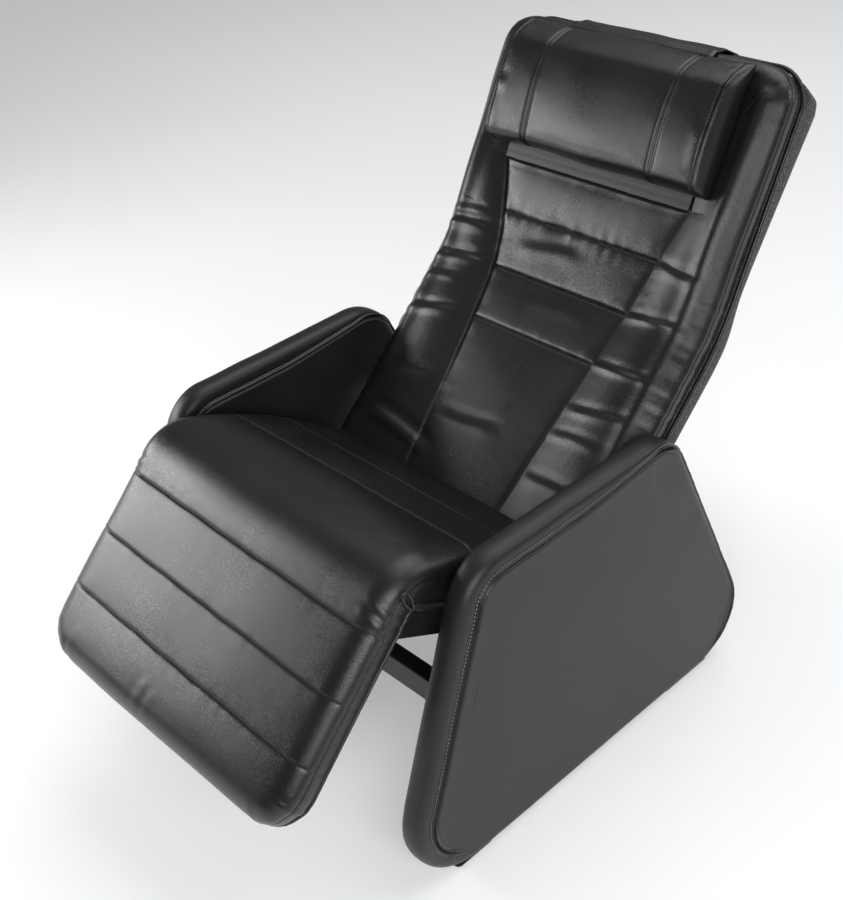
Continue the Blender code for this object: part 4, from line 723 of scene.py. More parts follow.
def seat_pad():
    """One pad from the legrest's end over the knee to the crease."""
    path = SEAT_PATH
    knee = path.arrivals[1]
    leg_seams = [knee - distance for distance in reversed(LEG_SEAMS)]
    seat_seams = [path.length - distance for distance in reversed(SEAT_SEAMS)]
    seams = leg_seams + seat_seams
    crown_start = path.pieces[1][0] - 0.03
    end = path.length - SWING_GAP

    def half_of(row):
        waist = WAIST * np.sin(math.pi * row / path.length) ** 2
        return corner_width(row, SEAT_HALF, LEG_CORNER) - waist

    def height(row, place, half):
        side = roll_factor(half - np.abs(place), SIDE_ROLL, EDGE_SHARE)
        low = roll_factor(row, LEG_END_ROLL, LEG_END_SHARE)
        share = np.clip((row - crown_start) / (path.length - crown_start), 0.0, 1.0)
        crown = SEAT_CROWN * np.sin(math.pi * share) ** 1.3
        across = LEG_CROWN * (1 - (place / SEAT_HALF) ** 2) * smooth((knee + 0.05 - row) / 0.12)
        return (SEAT_PAD - PUFF_ROOM + crown + across) * side * low

    def skew(row, place):
        on_leg = smooth((row - 0.03) / 0.06) * smooth((knee - 0.03 - row) / 0.06)
        return on_leg * (0.0008 * noise(place / 0.05, 2.0) - LEG_SEAM_SKEW * place)

    def inner_of(count):
        return lambda row, half: np.linspace(0, half - SIDE_ROLL, count)

    coarse_rows = np.array(sorted(list(np.linspace(0.002, end, 96)) + seams))
    coarse = Pad(path, coarse_rows, half_of, inner_of(26), height, SEAT_PAD, SEAT_BULGE)
    held = np.zeros(coarse.places.shape, bool)
    held[:, :3] = held[:, -3:] = True
    held[:2] = held[-3:] = True
    for seam in seams:
        held[np.argmin(np.abs(coarse_rows - seam))] = True
    puff = settle(coarse.points, held)

    low_rows = LEG_END_ROLL * (1 - np.cos(np.radians(LEG_END_STEPS)))
    rows = np.concatenate((low_rows, sewn_rows(low_rows[-1] + 0.004, end, 0.0045, seams)))
    pad = Pad(path, rows, half_of, inner_of(48), height, SEAT_PAD, SEAT_BULGE, skew)
    row, place = pad.lengths, pad.places
    move = pad.read(coarse, puff) * np.where(row < knee, LEG_PUFF, SEAT_PUFF)
    on_top = 1 - 0.6 * smooth((np.abs(place) - 0.272) / 0.03)
    for index, seam in enumerate(seams):
        deep = LEG_SEAM_DEEP if seam < knee else SEAT_SEAM_DEEP
        move -= groove(row - seam, deep, SEAT_SEAM_WIDE) * on_top
        move += puckers(row - seam, place, index * 7.3, SEAT_PUCKER)
    move += SEAT_UNEVEN * noise(row / 0.085, place / 0.11 + 9)
    move += folds(row, place, SEAT_FOLDS)
    down, out = LEG_CORNER - row, np.abs(place) - SEAT_HALF + LEG_CORNER
    corner, turn = np.hypot(down, out), np.arctan2(down, out)
    rounded = smooth(turn / 0.25) * smooth((math.pi / 2 - turn) / 0.25)
    gathers = noise(turn / 0.17, np.sign(place) * 3 + 50)
    move += CORNER_GATHER * gathers * rounded * smooth((corner - 0.030) / 0.035)
    pad.swell(move)

    # Nothing reaches into the back's swing
    past = (pad.points[..., 1] - ORIGIN_Y - CREASE[0]) * BACK_FRONT[0]
    past += (pad.points[..., 2] - CREASE[1]) * BACK_FRONT[1]
    drawn = np.minimum(past - SWING_GAP, 0) / (SEAT_WAY @ BACK_FRONT)
    pad.points[..., 1] -= SEAT_WAY[0] * drawn
    pad.points[..., 2] -= SEAT_WAY[1] * drawn
    pad.finish("seat_leg_leather", "seat", "seat_leg_pad")
    sewn = [pad.line(seam + STITCH_OFF) for seam in leg_seams]
    sewn += [pad.line(seam - STITCH_OFF) for seam in seat_seams]
    stitches("seat_leg_stitches", sewn, "seat")
    edge = np.concatenate((pad.points[::-1, 1], pad.points[0, 2:-2], pad.points[:, -2]))
    dressed(tube("seat_leg_piping", edge[::2], PIPING_RADIUS, 8), LEATHER, "seat")


# The loop's middle as (row, place, height), its half sizes and its thickness
LOOP_MIDDLE = (0.399, SEAT_HALF + 0.005, -0.024)
LOOP_HALF = (0.008, 0.001, 0.019)
LOOP_RADIUS = 0.0020


def knee_loop():
    """The small loop of piping at the knee, on the sitter's left."""
    turn = np.linspace(0.0, 2 * math.pi, 33)
    swings = (np.cos(turn), np.cos(turn), np.sin(turn))
    spots = [mid + half * swing for mid, half, swing in zip(LOOP_MIDDLE, LOOP_HALF, swings)]
    line = SEAT_PATH.place(*spots)
    dressed(tube("knee_loop_leather", line, LOOP_RADIUS, 8), LEATHER, "seat")


def panel_half(row):
    """The half width of the back's middle panel, which narrows towards the seat."""
    share = np.clip(np.asarray(row) / BACK_BAND[0], 0.0, 1.0)
    return PANEL_BASE_HALF + (PANEL_TOP_HALF - PANEL_BASE_HALF) * (share + share**4) / 2


BACK_PUFF = 0.006
BACK_BULGE = 0.001
CROSS_SEAM_DEEP = 0.0040
CROSS_SEAM_WIDE = 0.0044
# The uppermost cross seam is shallower and gathered
GATHERED_DEEP = 0.0026
GATHERED_PUCKER = 0.0020
CROSS_PUCKER = 0.0006
PANEL_SEAM_DEEP = 0.0034
PANEL_SEAM_WIDE = 0.0042
PANEL_PUCKER = 0.0008
BAND_PUCKER = 0.0012
BACK_UNEVEN = 0.0012
EDGE_BEAD = 0.0075
EDGE_BEAD_IN = 0.036
EDGE_BEAD_WIDE = 0.016
EDGE_GATHER = 0.0010
BAND_GROOVE = 0.0032
BAND_GROOVE_WIDE = 0.0022
# Wrinkles as on the seat, and last the sewn mitres at the top corners
BACK_FOLDS = (
    (478, -190, 472, -300, 7, 1.6),
    (452, -165, 438, -312, 9, 3.2),
    (388, -155, 374, -312, 10, 3.2),
    (348, -185, 324, -306, 7, 2),
    (284, -160, 258, -312, 9, 3),
    (152, -135, 112, -300, 13, 3),
    (30, -60, 60, -290, 13, 4.4),
    (484, 165, 482, 280, 8, 2),
    (386, 145, 404, 278, 7, 2.4),
    (292, 125, 299, 280, 7, 2.4),
    (206, 130, 222, 278, 8, 2),
    (152, 120, 166, 262, 8, 1.4),
    (62, 110, 80, 270, 10, 2),
    (104, -120, 112, 50, 12, 2),
    (440, -130, 450, 40, 13, 1.8),
    (352, -60, 360, 110, 14, 1),
    (757, 242, 836, 298, 1.8, -2),
    (757, -242, 836, -298, 1.8, -2),
)


def back_pad():
    """The back pad: a sewn middle panel between two bolsters."""
    path = BACK_PATH
    start, end = -BACK_TAIL, BACK_LENGTH
    seams = list(BACK_SEAMS) + list(BACK_BAND)

    def half_of(row):
        waist = WAIST * np.sin(math.pi * np.clip(row / end, 0.0, 1.0)) ** 2
        return corner_width(end - row, BACK_HALF, BACK_CORNER) - waist

    def height(row, place, half):
        side = roll_factor(half - np.abs(place), SIDE_ROLL, EDGE_SHARE)
        top = roll_factor(end - row, SIDE_ROLL, EDGE_SHARE)
        panel = panel_half(row)
        below = smooth((BACK_BAND[0] - row) / 0.014)
        inside = smooth((panel + 0.006 - np.abs(place)) / 0.012)
        share = np.clip((np.abs(place) - panel) / (half - panel), 0.0, 1.0)
        risen = np.clip(row / BACK_SEAMS[0], 0.0, 1.0) * smooth((0.74 - row) / 0.22)
        bolster = BOLSTER_PUFF * np.sin(math.pi * share) * risen
        puff = (1 - inside) * bolster - below * inside * BOLSTER_PUFF * 0.25
        return (BACK_PAD - PUFF_ROOM + puff) * side * top

    def seam_at(row, half):
        return min(float(panel_half(row)), half - SIDE_ROLL - 0.03)

    def coarse_inner(row, half):
        seam = seam_at(row, half)
        outer = np.linspace(seam, half - SIDE_ROLL, 9)[1:]
        return np.concatenate((np.linspace(0, seam, 15), outer))

    def fine_inner(row, half):
        seam = seam_at(row, half)
        inner = np.linspace(0, seam - SEAM_REACH, 30)
        outer = np.linspace(seam + SEAM_REACH, half - SIDE_ROLL, 22)
        return np.concatenate((inner, seam + np.array(SEAM_STEPS), outer))

    coarse_rows = np.array(sorted(list(np.linspace(start, end - 0.001, 100)) + seams))
    coarse = Pad(path, coarse_rows, half_of, coarse_inner, height, BACK_PAD, BACK_BULGE)
    held = np.zeros(coarse.places.shape, bool)
    held[:, :3] = held[:, -3:] = True
    held[:2] = held[-2:] = True
    inside = panel_half(coarse.lengths) - np.abs(coarse.places)
    held |= (coarse.lengths < BACK_BAND[1] + 0.001) & (np.abs(inside) < 0.001)
    for seam in seams:
        nearest = np.argmin(np.abs(coarse_rows - seam))
        held[nearest] |= inside[nearest] > -0.001
    puff = settle(coarse.points, held)

    top_rows = end - SIDE_ROLL * (1 - np.cos(np.radians(BACK_TOP_STEPS)))
    rows = np.concatenate((sewn_rows(start, end - 0.0125, 0.0046, seams), top_rows))
    pad = Pad(path, rows, half_of, fine_inner, height, BACK_PAD, BACK_BULGE)
    row, place = pad.lengths, pad.places
    move = pad.read(coarse, puff) * BACK_PUFF
    panel = panel_half(row)
    in_panel = smooth((panel + 0.002 - np.abs(place)) / 0.004)
    for index, seam in enumerate(BACK_SEAMS):
        gathered = seam == BACK_SEAMS[-1]
        deep = GATHERED_DEEP if gathered else CROSS_SEAM_DEEP
        move -= groove(row - seam, deep, CROSS_SEAM_WIDE) * in_panel
        pucker = GATHERED_PUCKER if gathered else CROSS_PUCKER
        move += puckers(row - seam, place, index * 5.1, pucker, 0.014) * in_panel
    sewn = smooth((BACK_BAND[0] + 0.004 - row) / 0.006) * smooth((row + 0.02) / 0.05)
    off = np.abs(place) - panel
    faded = np.where(place < 0, smooth((row - 0.10) / 0.14), 1.0)
    move -= groove(off, PANEL_SEAM_DEEP, PANEL_SEAM_WIDE) * sewn * (0.25 + 0.75 * faded)
    move += puckers(off, row, 31.0, PANEL_PUCKER, 0.02, 0.016) * sewn
    gathers = puckers(row - BACK_BAND[0], place, 43.0, BAND_PUCKER, 0.012, 0.016)
    move += gathers * in_panel * smooth((BACK_BAND[0] - row) / 0.003)
    move += BACK_UNEVEN * noise(row / 0.09 + 3, place / 0.10 + 5)
    move += folds(row, place, BACK_FOLDS)
    in_edge = pad.halves - np.abs(place)
    bead = smooth((row - 0.10) / 0.1) * smooth((end - row - 0.03) / 0.03)
    move += EDGE_BEAD * bell(in_edge - EDGE_BEAD_IN, EDGE_BEAD_WIDE) * bead
    low = smooth((row - 0.05) / 0.1) * smooth((0.50 - row) / 0.06)
    low = low * smooth((0.034 - in_edge) / 0.02)
    move += EDGE_GATHER * low * noise(row / 0.010, np.sign(place) * 4 + 30)

    # The face lies flat under the head band, with a groove along the band's lower edge
    under = smooth((row - BACK_BAND[0] + 0.006) / 0.005)
    under = under * smooth((BACK_BAND[1] + 0.010 - row) / 0.005)
    move *= 1 - 0.85 * under * in_panel
    off_band = row - BACK_BAND[0] + BAND_GROOVE_WIDE
    move -= BAND_GROOVE * bell(off_band, BAND_GROOVE_WIDE) * in_panel
    pad.swell(move)
    pad.finish("back_leather", "back", "back_pad")

    lines = []
    for side in (1, -1):
        lines.append(pad.upright(lambda r: side * (panel_half(r) + STITCH_OFF), 0.0, BACK_BAND[0]))
    for seam in BACK_SEAMS:
        wide = float(panel_half(seam)) - 0.002
        lines.append(pad.line(seam - STITCH_OFF, -wide, wide))
    stitches("back_stitches", lines, "back")


BAND_FACE = 0.0034
BAND_REAR = 0.0004
BAND_RIB = 0.0004


def head_band():
    """The flat ribbed strip sewn across the back under the pillow."""
    low, high = BACK_BAND
    rows = np.linspace(low - 0.001, high + 0.004, 9)
    places = np.linspace(-PANEL_TOP_HALF, PANEL_TOP_HALF, 81)
    rib = BAND_RIB * np.sin((rows - low) / (high - low) * 2 * math.pi) ** 2
    face = BACK_PATH.place(rows[:, None], places[None], (BAND_FACE + rib)[:, None])
    back = BACK_PATH.place(rows[:, None], places[None, ::-1], BAND_REAR)
    band = ring_object("head_band_leather", np.concatenate((face, back), axis=1), 60.0)
    dressed(band, BAND_LEATHER, "back")


# Head pillow: shares along it with its heights over the back
PILLOW_LIP = 0.07
PILLOW_CREST = 0.46
PILLOW_BEND = 0.062
PILLOW_CLOSE = 0.24
PILLOW_DROP = 0.009
PILLOW_HEIGHT = 0.052
PILLOW_TOP_DROP = 0.010
PILLOW_COLUMNS = 84
TWIN = 0.0042
PILLOW_END = 0.016
END_SEAM = 0.0135
END_STITCH = 0.018
END_STEPS = (0.0, 0.0008, 0.0018, 0.003, 0.0045, 0.0062, 0.008, 0.0098)
END_STEPS += (0.0112, 0.0124, END_SEAM, 0.0146, 0.0158, END_STITCH, 0.021, 0.026, 0.031)
PILLOW_STEPS = mirrored((0.0012, 0.0026, 0.0040))
PILLOW_PUFF = 0.0022
TWIN_DEEP = 0.0028
TWIN_WIDE = 0.0026
TWIN_PUCKER = 0.0005
END_DEEP = 0.0030
END_WIDE = 0.0022
END_GATHER = 0.0020
PILLOW_UNEVEN = 0.0010


def pillow_section():
    """The pillow's side view round its edge: shares along it and heights over its rear face."""
    angles = np.linspace(0, 2 * math.pi, PILLOW_COLUMNS, endpoint=False)
    along = 0.5 - 0.5 * np.cos(angles)
    lip = np.sqrt(1 - (1 - np.clip(along / PILLOW_LIP, 0, 1)) ** 2)
    shut = np.sqrt(1 - (1 - np.clip((1 - along) / PILLOW_CLOSE, 0, 1)) ** 2)
    top = (PILLOW_HEIGHT - PILLOW_BEND * (along - PILLOW_CREST) ** 2) * lip * shut
    return along, np.where(angles <= math.pi, top, -0.003 * np.sin(along * math.pi))


def pillow_rings(places, along, heights):
    share = np.abs(places[:, None]) / PILLOW_HALF
    close = np.sqrt(1 - 0.78 * np.clip(1 - (1 - share) * PILLOW_HALF / PILLOW_END, 0, 1) ** 2)
    draw = 1 - 0.02 * np.sin(math.pi * share) ** 2
    low = PILLOW_START - PILLOW_DROP * (1 - along[None])
    rows = low + PILLOW_LENGTH * (0.5 + (along[None] - 0.5) * draw)
    over = PILLOW_STANDOFF + 0.003 + heights[None] * close
    over = over - PILLOW_TOP_DROP * smooth((rows - 0.786) / 0.050)
    return rows, np.broadcast_to(places[:, None], rows.shape), over


def head_pillow():
    """The head pillow: a wedge of leather with two twin seams and boxed, gathered ends."""
    along, heights = pillow_section()
    middles = (-PILLOW_SEAM, PILLOW_SEAM)
    coarse_places = np.linspace(-PILLOW_HALF, PILLOW_HALF, 57)
    coarse_places = np.sort(np.append(coarse_places, middles))
    coarse = BACK_PATH.place(*pillow_rings(coarse_places, along, heights))
    held = np.zeros(coarse.shape[:2], bool)
    held[:1] = held[-1:] = True
    held[:, heights <= 0.0] = True
    for seam in middles:
        held[np.argmin(np.abs(coarse_places - seam))] = True
    puff = settle(coarse, held)

    seams = [side * (PILLOW_SEAM + twin) for side in (-1, 1) for twin in (-TWIN, TWIN)]
    places = np.arange(-PILLOW_HALF + 0.035, PILLOW_HALF - 0.0345, 0.004)
    places = [spot for spot in places if all(abs(spot - seam) > 0.005 for seam in seams)]
    places += [seam + step for seam in seams for step in PILLOW_STEPS]
    places += [side * (PILLOW_HALF - step) for side in (-1, 1) for step in END_STEPS]
    places = np.array(sorted(places))
    places = places[np.concatenate(((True,), np.diff(places) > 0.0006))]
    row, place, over = pillow_rings(places, along, heights)
    points = BACK_PATH.place(row, place, over)
    normals = grid_normals(points)
    if ((points - points.mean(axis=1, keepdims=True)) * normals).sum() < 0:
        normals = -normals
    move = np.stack([np.interp(places, coarse_places, part) for part in puff.T], axis=1)
    move = move * PILLOW_PUFF
    for seam in seams:
        move -= groove(place - seam, TWIN_DEEP, TWIN_WIDE)
        move += puckers(place - seam, row, 17.0 + seam * 9, TWIN_PUCKER, 0.012, 0.012)
    from_end = PILLOW_HALF - np.abs(place)
    move -= groove(from_end - END_SEAM, END_DEEP, END_WIDE)
    turned = np.arange(PILLOW_COLUMNS)[None] / PILLOW_COLUMNS
    gathers = noise(turned * 40.0, np.sign(place) * 3.0 + 8.0)
    move += END_GATHER * gathers * bell(from_end - 0.022, 0.012)
    move += PILLOW_UNEVEN * noise(place / 0.07 + 2, row / 0.06)
    points = points + normals * move[..., None]
    pillow = dressed(ring_object("head_pillow_leather", points, 70.0), LEATHER, "back")
    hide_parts("head_pillow")
    shown = np.flatnonzero(heights > 0.006)
    sewn = seams + [side * (PILLOW_HALF - END_STITCH) for side in (-1, 1)]
    ranks = [int(np.argmin(np.abs(places - seam))) for seam in sewn]
    lines = [(points[rank, shown], normals[rank, shown]) for rank in ranks]
    stitches("head_pillow_stitches", lines, "back")


# Arms
def arm_loop(step):
    """Points round an arm's side outline, their inward normals and where each lies."""
    lift = FOOT_HEIGHT / ARM_TOP
    foot_front = ARM_BASE_FRONT + (ARM_TOP_FRONT - ARM_BASE_FRONT) * lift
    foot_rear = ARM_BASE_REAR + (ARM_TOP_REAR - ARM_BASE_REAR) * lift
    sides = (foot_front, foot_rear, ARM_TOP_REAR, ARM_TOP_FRONT)
    corners = np.column_stack((sides, (FOOT_HEIGHT, FOOT_HEIGHT, ARM_TOP, ARM_TOP)))
    ways = unit(np.roll(corners, -1, axis=0) - corners)
    turns = [turn_between(ways[index - 1], ways[index]) for index in range(4)]
    trims = [radius * math.tan(turn / 2) for radius, turn in zip(ARM_RADII, turns)]
    points, inward, zone = [], [], []
    for index, corner in enumerate(corners):
        radius, turn = ARM_RADII[index], turns[index]
        arrive, leave = ways[index - 1], ways[index]
        centre = corner - arrive * trims[index] + left_of(arrive) * radius
        bends = max(int(radius * turn / step), 4)
        for angle in turn * np.arange(bends) / bends:
            inner = left_of(arrive) * math.cos(angle) - arrive * math.sin(angle)
            points.append(centre - inner * radius)
            inward.append(inner)
        zone += list(index + 0.5 * np.arange(bends) / bends)
        following = (index + 1) % 4
        first = corner + leave * trims[index]
        last = corners[following] - leave * trims[following]
        runs = max(int(np.linalg.norm(last - first) / step), 2)
        for share in np.arange(runs) / runs:
            points.append(first + (last - first) * share)
            inward.append(left_of(leave))
        zone += list(index + 0.5 + 0.5 * np.arange(runs) / runs)
    return np.array(points), np.array(inward), np.array(zone)


def arm_curve():
    """From the middle of an arm's edge to its face: insets and distances off its mid plane."""
    half = ARM_THICKNESS / 2
    power = 2 / ARM_SQUARENESS
    angles = np.linspace(0, math.pi / 2, 40)
    inset = np.append(ARM_ROLL * (1 - np.cos(angles) ** power), ARM_FACE_REACH + 0.02)
    off = np.append(half * np.sin(angles) ** power, half)
    run = np.concatenate(((0.0,), np.cumsum(np.hypot(np.diff(inset), np.diff(off)))))
    return run, inset, off


# The boxing seam's distance from the middle of the edge, and its strength, round the outline:
# zones 0 to 4 start at the front foot, the rear foot, the rear top and the front top
SEAM_PLACES = (
    (0.0, 0.5, 1.0, 1.5, 1.75, 2.0, 2.5, 2.75, 4.0),
    (0.049, 0.049, 0.036, 0.022, 0.014, 0.014, 0.034, 0.049, 0.049),
)
SEAM_STRENGTH = ((0.0, 0.3, 0.5, 1.0, 1.3, 4.0), (1.0, 0.6, 0.0, 0.0, 1.0, 1.0))
ARM_STITCH = 0.0062
ARM_STEPS = mirrored((0.0012, 0.0024, 0.0036, 0.0048, ARM_STITCH, 0.0078, 0.0102, 0.0135))
ARM_STEP = 0.0055
ARM_SQUARENESS = 2.5
RIM_COLUMNS = 9
FACE_COLUMNS = 8
RIM_OFF_SEAM = 0.0145
FACE_OFF_SEAM = 0.019
# Heights and widths of the seam's twin ridges, its line, its swell and its stitch lines
RIDGE_OFF = 0.0034
RIDGE = (0.0030, 0.0018)
SEAM_LINE = (0.0036, 0.0014)
SEAM_SWELL = (0.0008, 0.016)
STITCH_LINE = (0.0020, 0.0016)
ARM_GATHER = 0.0006
ARM_UNEVEN = 0.0007


def arm(name, side):
    """An arm's leather cover: flat faces, a boxing strip round the edge and twin seams."""
    outline, inward, zone = arm_loop(ARM_STEP)
    run, inset, off = arm_curve()
    seams = np.interp(zone, *SEAM_PLACES)[:, None]
    strength = np.interp(zone, *SEAM_STRENGTH)[:, None]
    rim = np.linspace(0.0, 1.0, RIM_COLUMNS) * np.maximum(seams - RIM_OFF_SEAM, 0.0012)
    begin = seams + FACE_OFF_SEAM
    flat = begin + np.linspace(0.0, 1.0, FACE_COLUMNS) * (ARM_FACE_REACH - begin)
    lengths = np.hstack((rim, np.maximum(seams + ARM_STEPS, 0.0016), flat))
    insets = np.interp(lengths, run, inset)
    offs = np.interp(lengths, run, off)
    middle = side * (WIDTH / 2 - ARM_THICKNESS / 2)
    y = outline[:, :1] + inward[:, :1] * insets + ORIGIN_Y
    z = outline[:, 1:] + inward[:, 1:] * insets
    outer = np.stack((middle + offs, y, z), axis=-1)
    inner = np.stack((middle - offs, y, z), axis=-1)
    points = np.concatenate((outer[:, ::-1], inner[:, 1:]), axis=1)
    away = np.concatenate((lengths[:, ::-1], lengths[:, 1:]), axis=1)
    normals = grid_normals(np.concatenate((points[-2:], points, points[:2])))[2:-2]
    out = points - points.mean(axis=(0, 1))
    out[..., 0] *= 12
    if (out * normals).sum() < 0:
        normals = -normals
    off_seam = away - seams
    along = run_along(outline)[:, None]

    def ridge(distance, size):
        return size[0] * bell(distance, size[1])

    move = ridge(np.abs(off_seam) - RIDGE_OFF, RIDGE) - ridge(off_seam, SEAM_LINE)
    move += ridge(off_seam, SEAM_SWELL) - ridge(np.abs(off_seam) - ARM_STITCH, STITCH_LINE)
    gathers = noise(along / 0.010, np.sign(off_seam) * 5 + 20)
    move += ARM_GATHER * gathers * np.exp(-np.abs(off_seam) / 0.010)
    move = move * strength + ARM_UNEVEN * noise(along / 0.06, away / 0.05 + 3 * side)
    lifted = smooth((outline[:, 1] - FOOT_HEIGHT - 0.002) / 0.03)[:, None]
    points = points + normals * (move * (0.25 + 0.75 * lifted))[..., None]
    cover = dressed(arm_mesh(f"{name}_arm_leather", points, side), ARM_LEATHER, "base")
    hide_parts(f"arm_cover_{name}")
    middle_column = lengths.shape[1] - 1
    kept = np.concatenate((np.flatnonzero(zone > 1.25), np.flatnonzero(zone < 0.3)))
    lines = []
    for step in (-ARM_STITCH, ARM_STITCH):
        column = RIM_COLUMNS + ARM_STEPS.index(step)
        for index in (middle_column - column, middle_column + column):
            lines.append((points[kept, index], normals[kept, index]))
    # The arms' stitches take the light grey thread, which partly paints the seams' highlight
    stitches(f"{name}_arm_stitches", lines, "base", ARM_THREAD_PAINTED_HIGHLIGHT, ARM_THREAD_RADIUS)


def arm_mesh(name, points, side):
    """The cover's rings closed by flat faces, with a pocket for the switch in one of them."""
    rows, columns = points.shape[:2]
    shape = bmesh.new()
    grid = [[shape.verts.new(tuple(spot)) for spot in ring] for ring in points]
    for row in range(rows):
        here, after = grid[row], grid[(row + 1) % rows]
        for column in range(columns - 1):
            shape.faces.new((here[column], here[column + 1], after[column + 1], after[column]))
    for column, face in ((0, 1), (columns - 1, -1)):
        loop = [ring[column] for ring in grid]
        if side < 0 and face < 0:
            pocketed_face(shape, loop)
        else:
            shape.faces.new(loop)
    bmesh.ops.recalc_face_normals(shape, faces=shape.faces)
    return shaped_object(name, shape, bpy.data.meshes.new(name), 55.0)


POCKET_DEPTH = 0.013
POCKET_MARGIN = 0.004


def pocketed_face(shape, loop):
    """Fills an arm's outer face round the switch box, and lines the pocket."""
    low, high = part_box("switch_bezel")
    front, rear = low[1] + POCKET_MARGIN, high[1] - POCKET_MARGIN
    base, top = low[2] + POCKET_MARGIN, high[2] - POCKET_MARGIN
    corners = ((front, base), (rear, base), (rear, top), (front, top))
    plane = -WIDTH / 2
    rim = [shape.verts.new((plane, *corner)) for corner in corners]
    floor = [shape.verts.new((plane + POCKET_DEPTH, *corner)) for corner in corners]
    edges = []
    for index in range(len(loop)):
        pair = (loop[index - 1], loop[index])
        edges.append(shape.edges.get(pair) or shape.edges.new(pair))
    for index in range(4):
        edges.append(shape.edges.new((rim[index - 1], rim[index])))
    bmesh.ops.triangle_fill(shape, use_beauty=True, edges=edges)
    for index in range(4):
        shape.faces.new((rim[index - 1], rim[index], floor[index], floor[index - 1]))
    shape.faces.new(floor)


# Rear cover, welt, flap and apron
def cover_depths(lengths, rim, top):
    """How deep the rear cover is along the back: a lower box, a waist and an upper box."""
    upper = top - COVER_CHAMFER
    spots, depths = zip(
        (COVER_BOTTOM, COVER_LOWER_DEPTH),
        (BACK_LOWER_LENGTH, COVER_LOWER_DEPTH),
        (COVER_WAIST, COVER_WAIST_DEPTH),
        (upper, COVER_UPPER_DEPTH),
        (top - COVER_CHAMFER / 2, COVER_UPPER_DEPTH - COVER_CHAMFER / 5),
        (top - COVER_CHAMFER / 8, (COVER_UPPER_DEPTH + rim) * 0.45),
        (top, rim + 2 * COVER_WALL),
    )
    plain = np.interp(lengths, spots, depths)
    soft = np.convolve(np.pad(plain, 2, mode="edge"), np.ones(5) / 5, mode="valid")
    return np.where(lengths < upper, soft, plain)


def rear_cover():
    """The woven cover behind the back: a shell with rounded edges, drawn in at its waist."""
    rim = BACK_PAD + GAP
    top = BACK_LENGTH - BASE_INSET
    upper = top - COVER_CHAMFER
    straight = np.arange(COVER_BOTTOM, upper, PIPING_STEP)
    lengths = np.concatenate((straight, np.linspace(upper, top, 14)))
    pad_half = corner_width(top - lengths, BACK_HALF - BASE_INSET, BACK_CORNER) - GAP
    full_half = corner_width(top - lengths, BACK_HALF - BASE_INSET, COVER_CORNER) - GAP
    depths = cover_depths(lengths, rim, top)
    angles = np.linspace(0, math.pi / 2, 7)
    shares = np.linspace(0, 1, 7)[:-1]
    inwards = np.linspace(1, 0, 16)[1:]
    rings = []
    for length, narrow, wide, depth in zip(lengths, pad_half, full_half, depths):
        edge = min(COVER_EDGE, (depth - rim) / 2)
        side_place = narrow + (wide - narrow) * smooth(shares * 1.6)
        rolled_place = wide - edge * (1 - np.cos(angles))
        place = np.concatenate((side_place, rolled_place, (wide - edge) * inwards))
        side_into = rim + (depth - edge - rim) * shares
        rolled_into = depth - edge * (1 - np.sin(angles))
        into = np.concatenate((side_into, rolled_into, np.full(len(inwards), depth)))
        place = np.concatenate((place, -place[-2::-1]))
        into = np.concatenate((into, into[-2::-1]))
        share = (length - COVER_BOTTOM) / (top - COVER_BOTTOM)
        pull = COVER_PULL * (1 - (place / wide) ** 2) * math.sin(share * math.pi)
        ripple = COVER_RIPPLE * noise(place / 0.05, length / 0.07 + into * 9)
        into = into - (pull + ripple) * np.clip((into - rim) / 0.03, 0, 1)
        turn = np.clip((np.abs(place) - (wide - edge)) / edge, 0.0, 1.0)
        inner_place = place - np.sign(place) * COVER_WALL * turn
        inner_into = np.maximum(into - COVER_WALL * (1 - turn), rim)
        inner_place[0], inner_place[-1] = place[0] - COVER_WALL, place[-1] + COVER_WALL
        ring_place = np.concatenate((place, inner_place[::-1]))
        ring_into = np.concatenate((into, inner_into[::-1]))
        rings.append(np.column_stack((np.full(len(ring_place), length), ring_place, -ring_into)))
    rings = np.array(rings)
    points = BACK_PATH.place(rings[..., 0], rings[..., 1], rings[..., 2])
    cover = dressed(ring_object("rear_cover_fabric", points, 40.0), FABRIC, "back")
    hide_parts("rear_cover")


def welt():
    """Leather piping round the back pad's edge."""
    half = BACK_HALF - BASE_INSET + WELT_RADIUS + WELT_GAP
    top = BACK_LENGTH + WELT_RADIUS + WELT_GAP
    corner = BACK_CORNER + WELT_RADIUS
    side = [(half, length) for length in np.arange(COVER_BOTTOM, top - corner, PIPING_STEP)]
    for angle in np.linspace(0, math.pi / 2, 14):
        place = half - corner + corner * math.cos(angle)
        side.append((place, top - corner + corner * math.sin(angle)))
    side += [(place, top) for place in np.linspace(half - corner, 0, 30)[1:]]
    line = np.array(side + [(-place, length) for place, length in reversed(side[:-1])])
    points = BACK_PATH.place(line[:, 1], line[:, 0], -(BACK_PAD + WELT_RADIUS))
    radius = WELT_RADIUS * (1 + 0.05 * noise(np.arange(len(points)) / 1.7, 4.0))
    piece = dressed(tube("back_piping", points, radius, 12), LEATHER, "back")
    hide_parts("back_welt")


STRAP_COLUMNS = 61


def strap(points, normals, half, thickness, ripple):
    """Rings of a thin closed sheet with rounded edges along a side view line."""
    shares = np.linspace(-1, 1, STRAP_COLUMNS)
    thin = np.sqrt(np.clip(1 - ((np.abs(shares) - 0.985) / 0.015).clip(0) ** 2, 0.04, 1))
    across = np.concatenate((shares, shares[::-1]))
    lift = np.concatenate((thin, -thin[::-1]))[None] * thickness / 2 + ripple(across[None])
    spots = points[:, None] + normals[:, None] * lift[..., None]
    wide = np.broadcast_to(half * across, spots.shape[:2])
    return np.stack((wide, spots[..., 0] + ORIGIN_Y, spots[..., 1]), axis=-1)


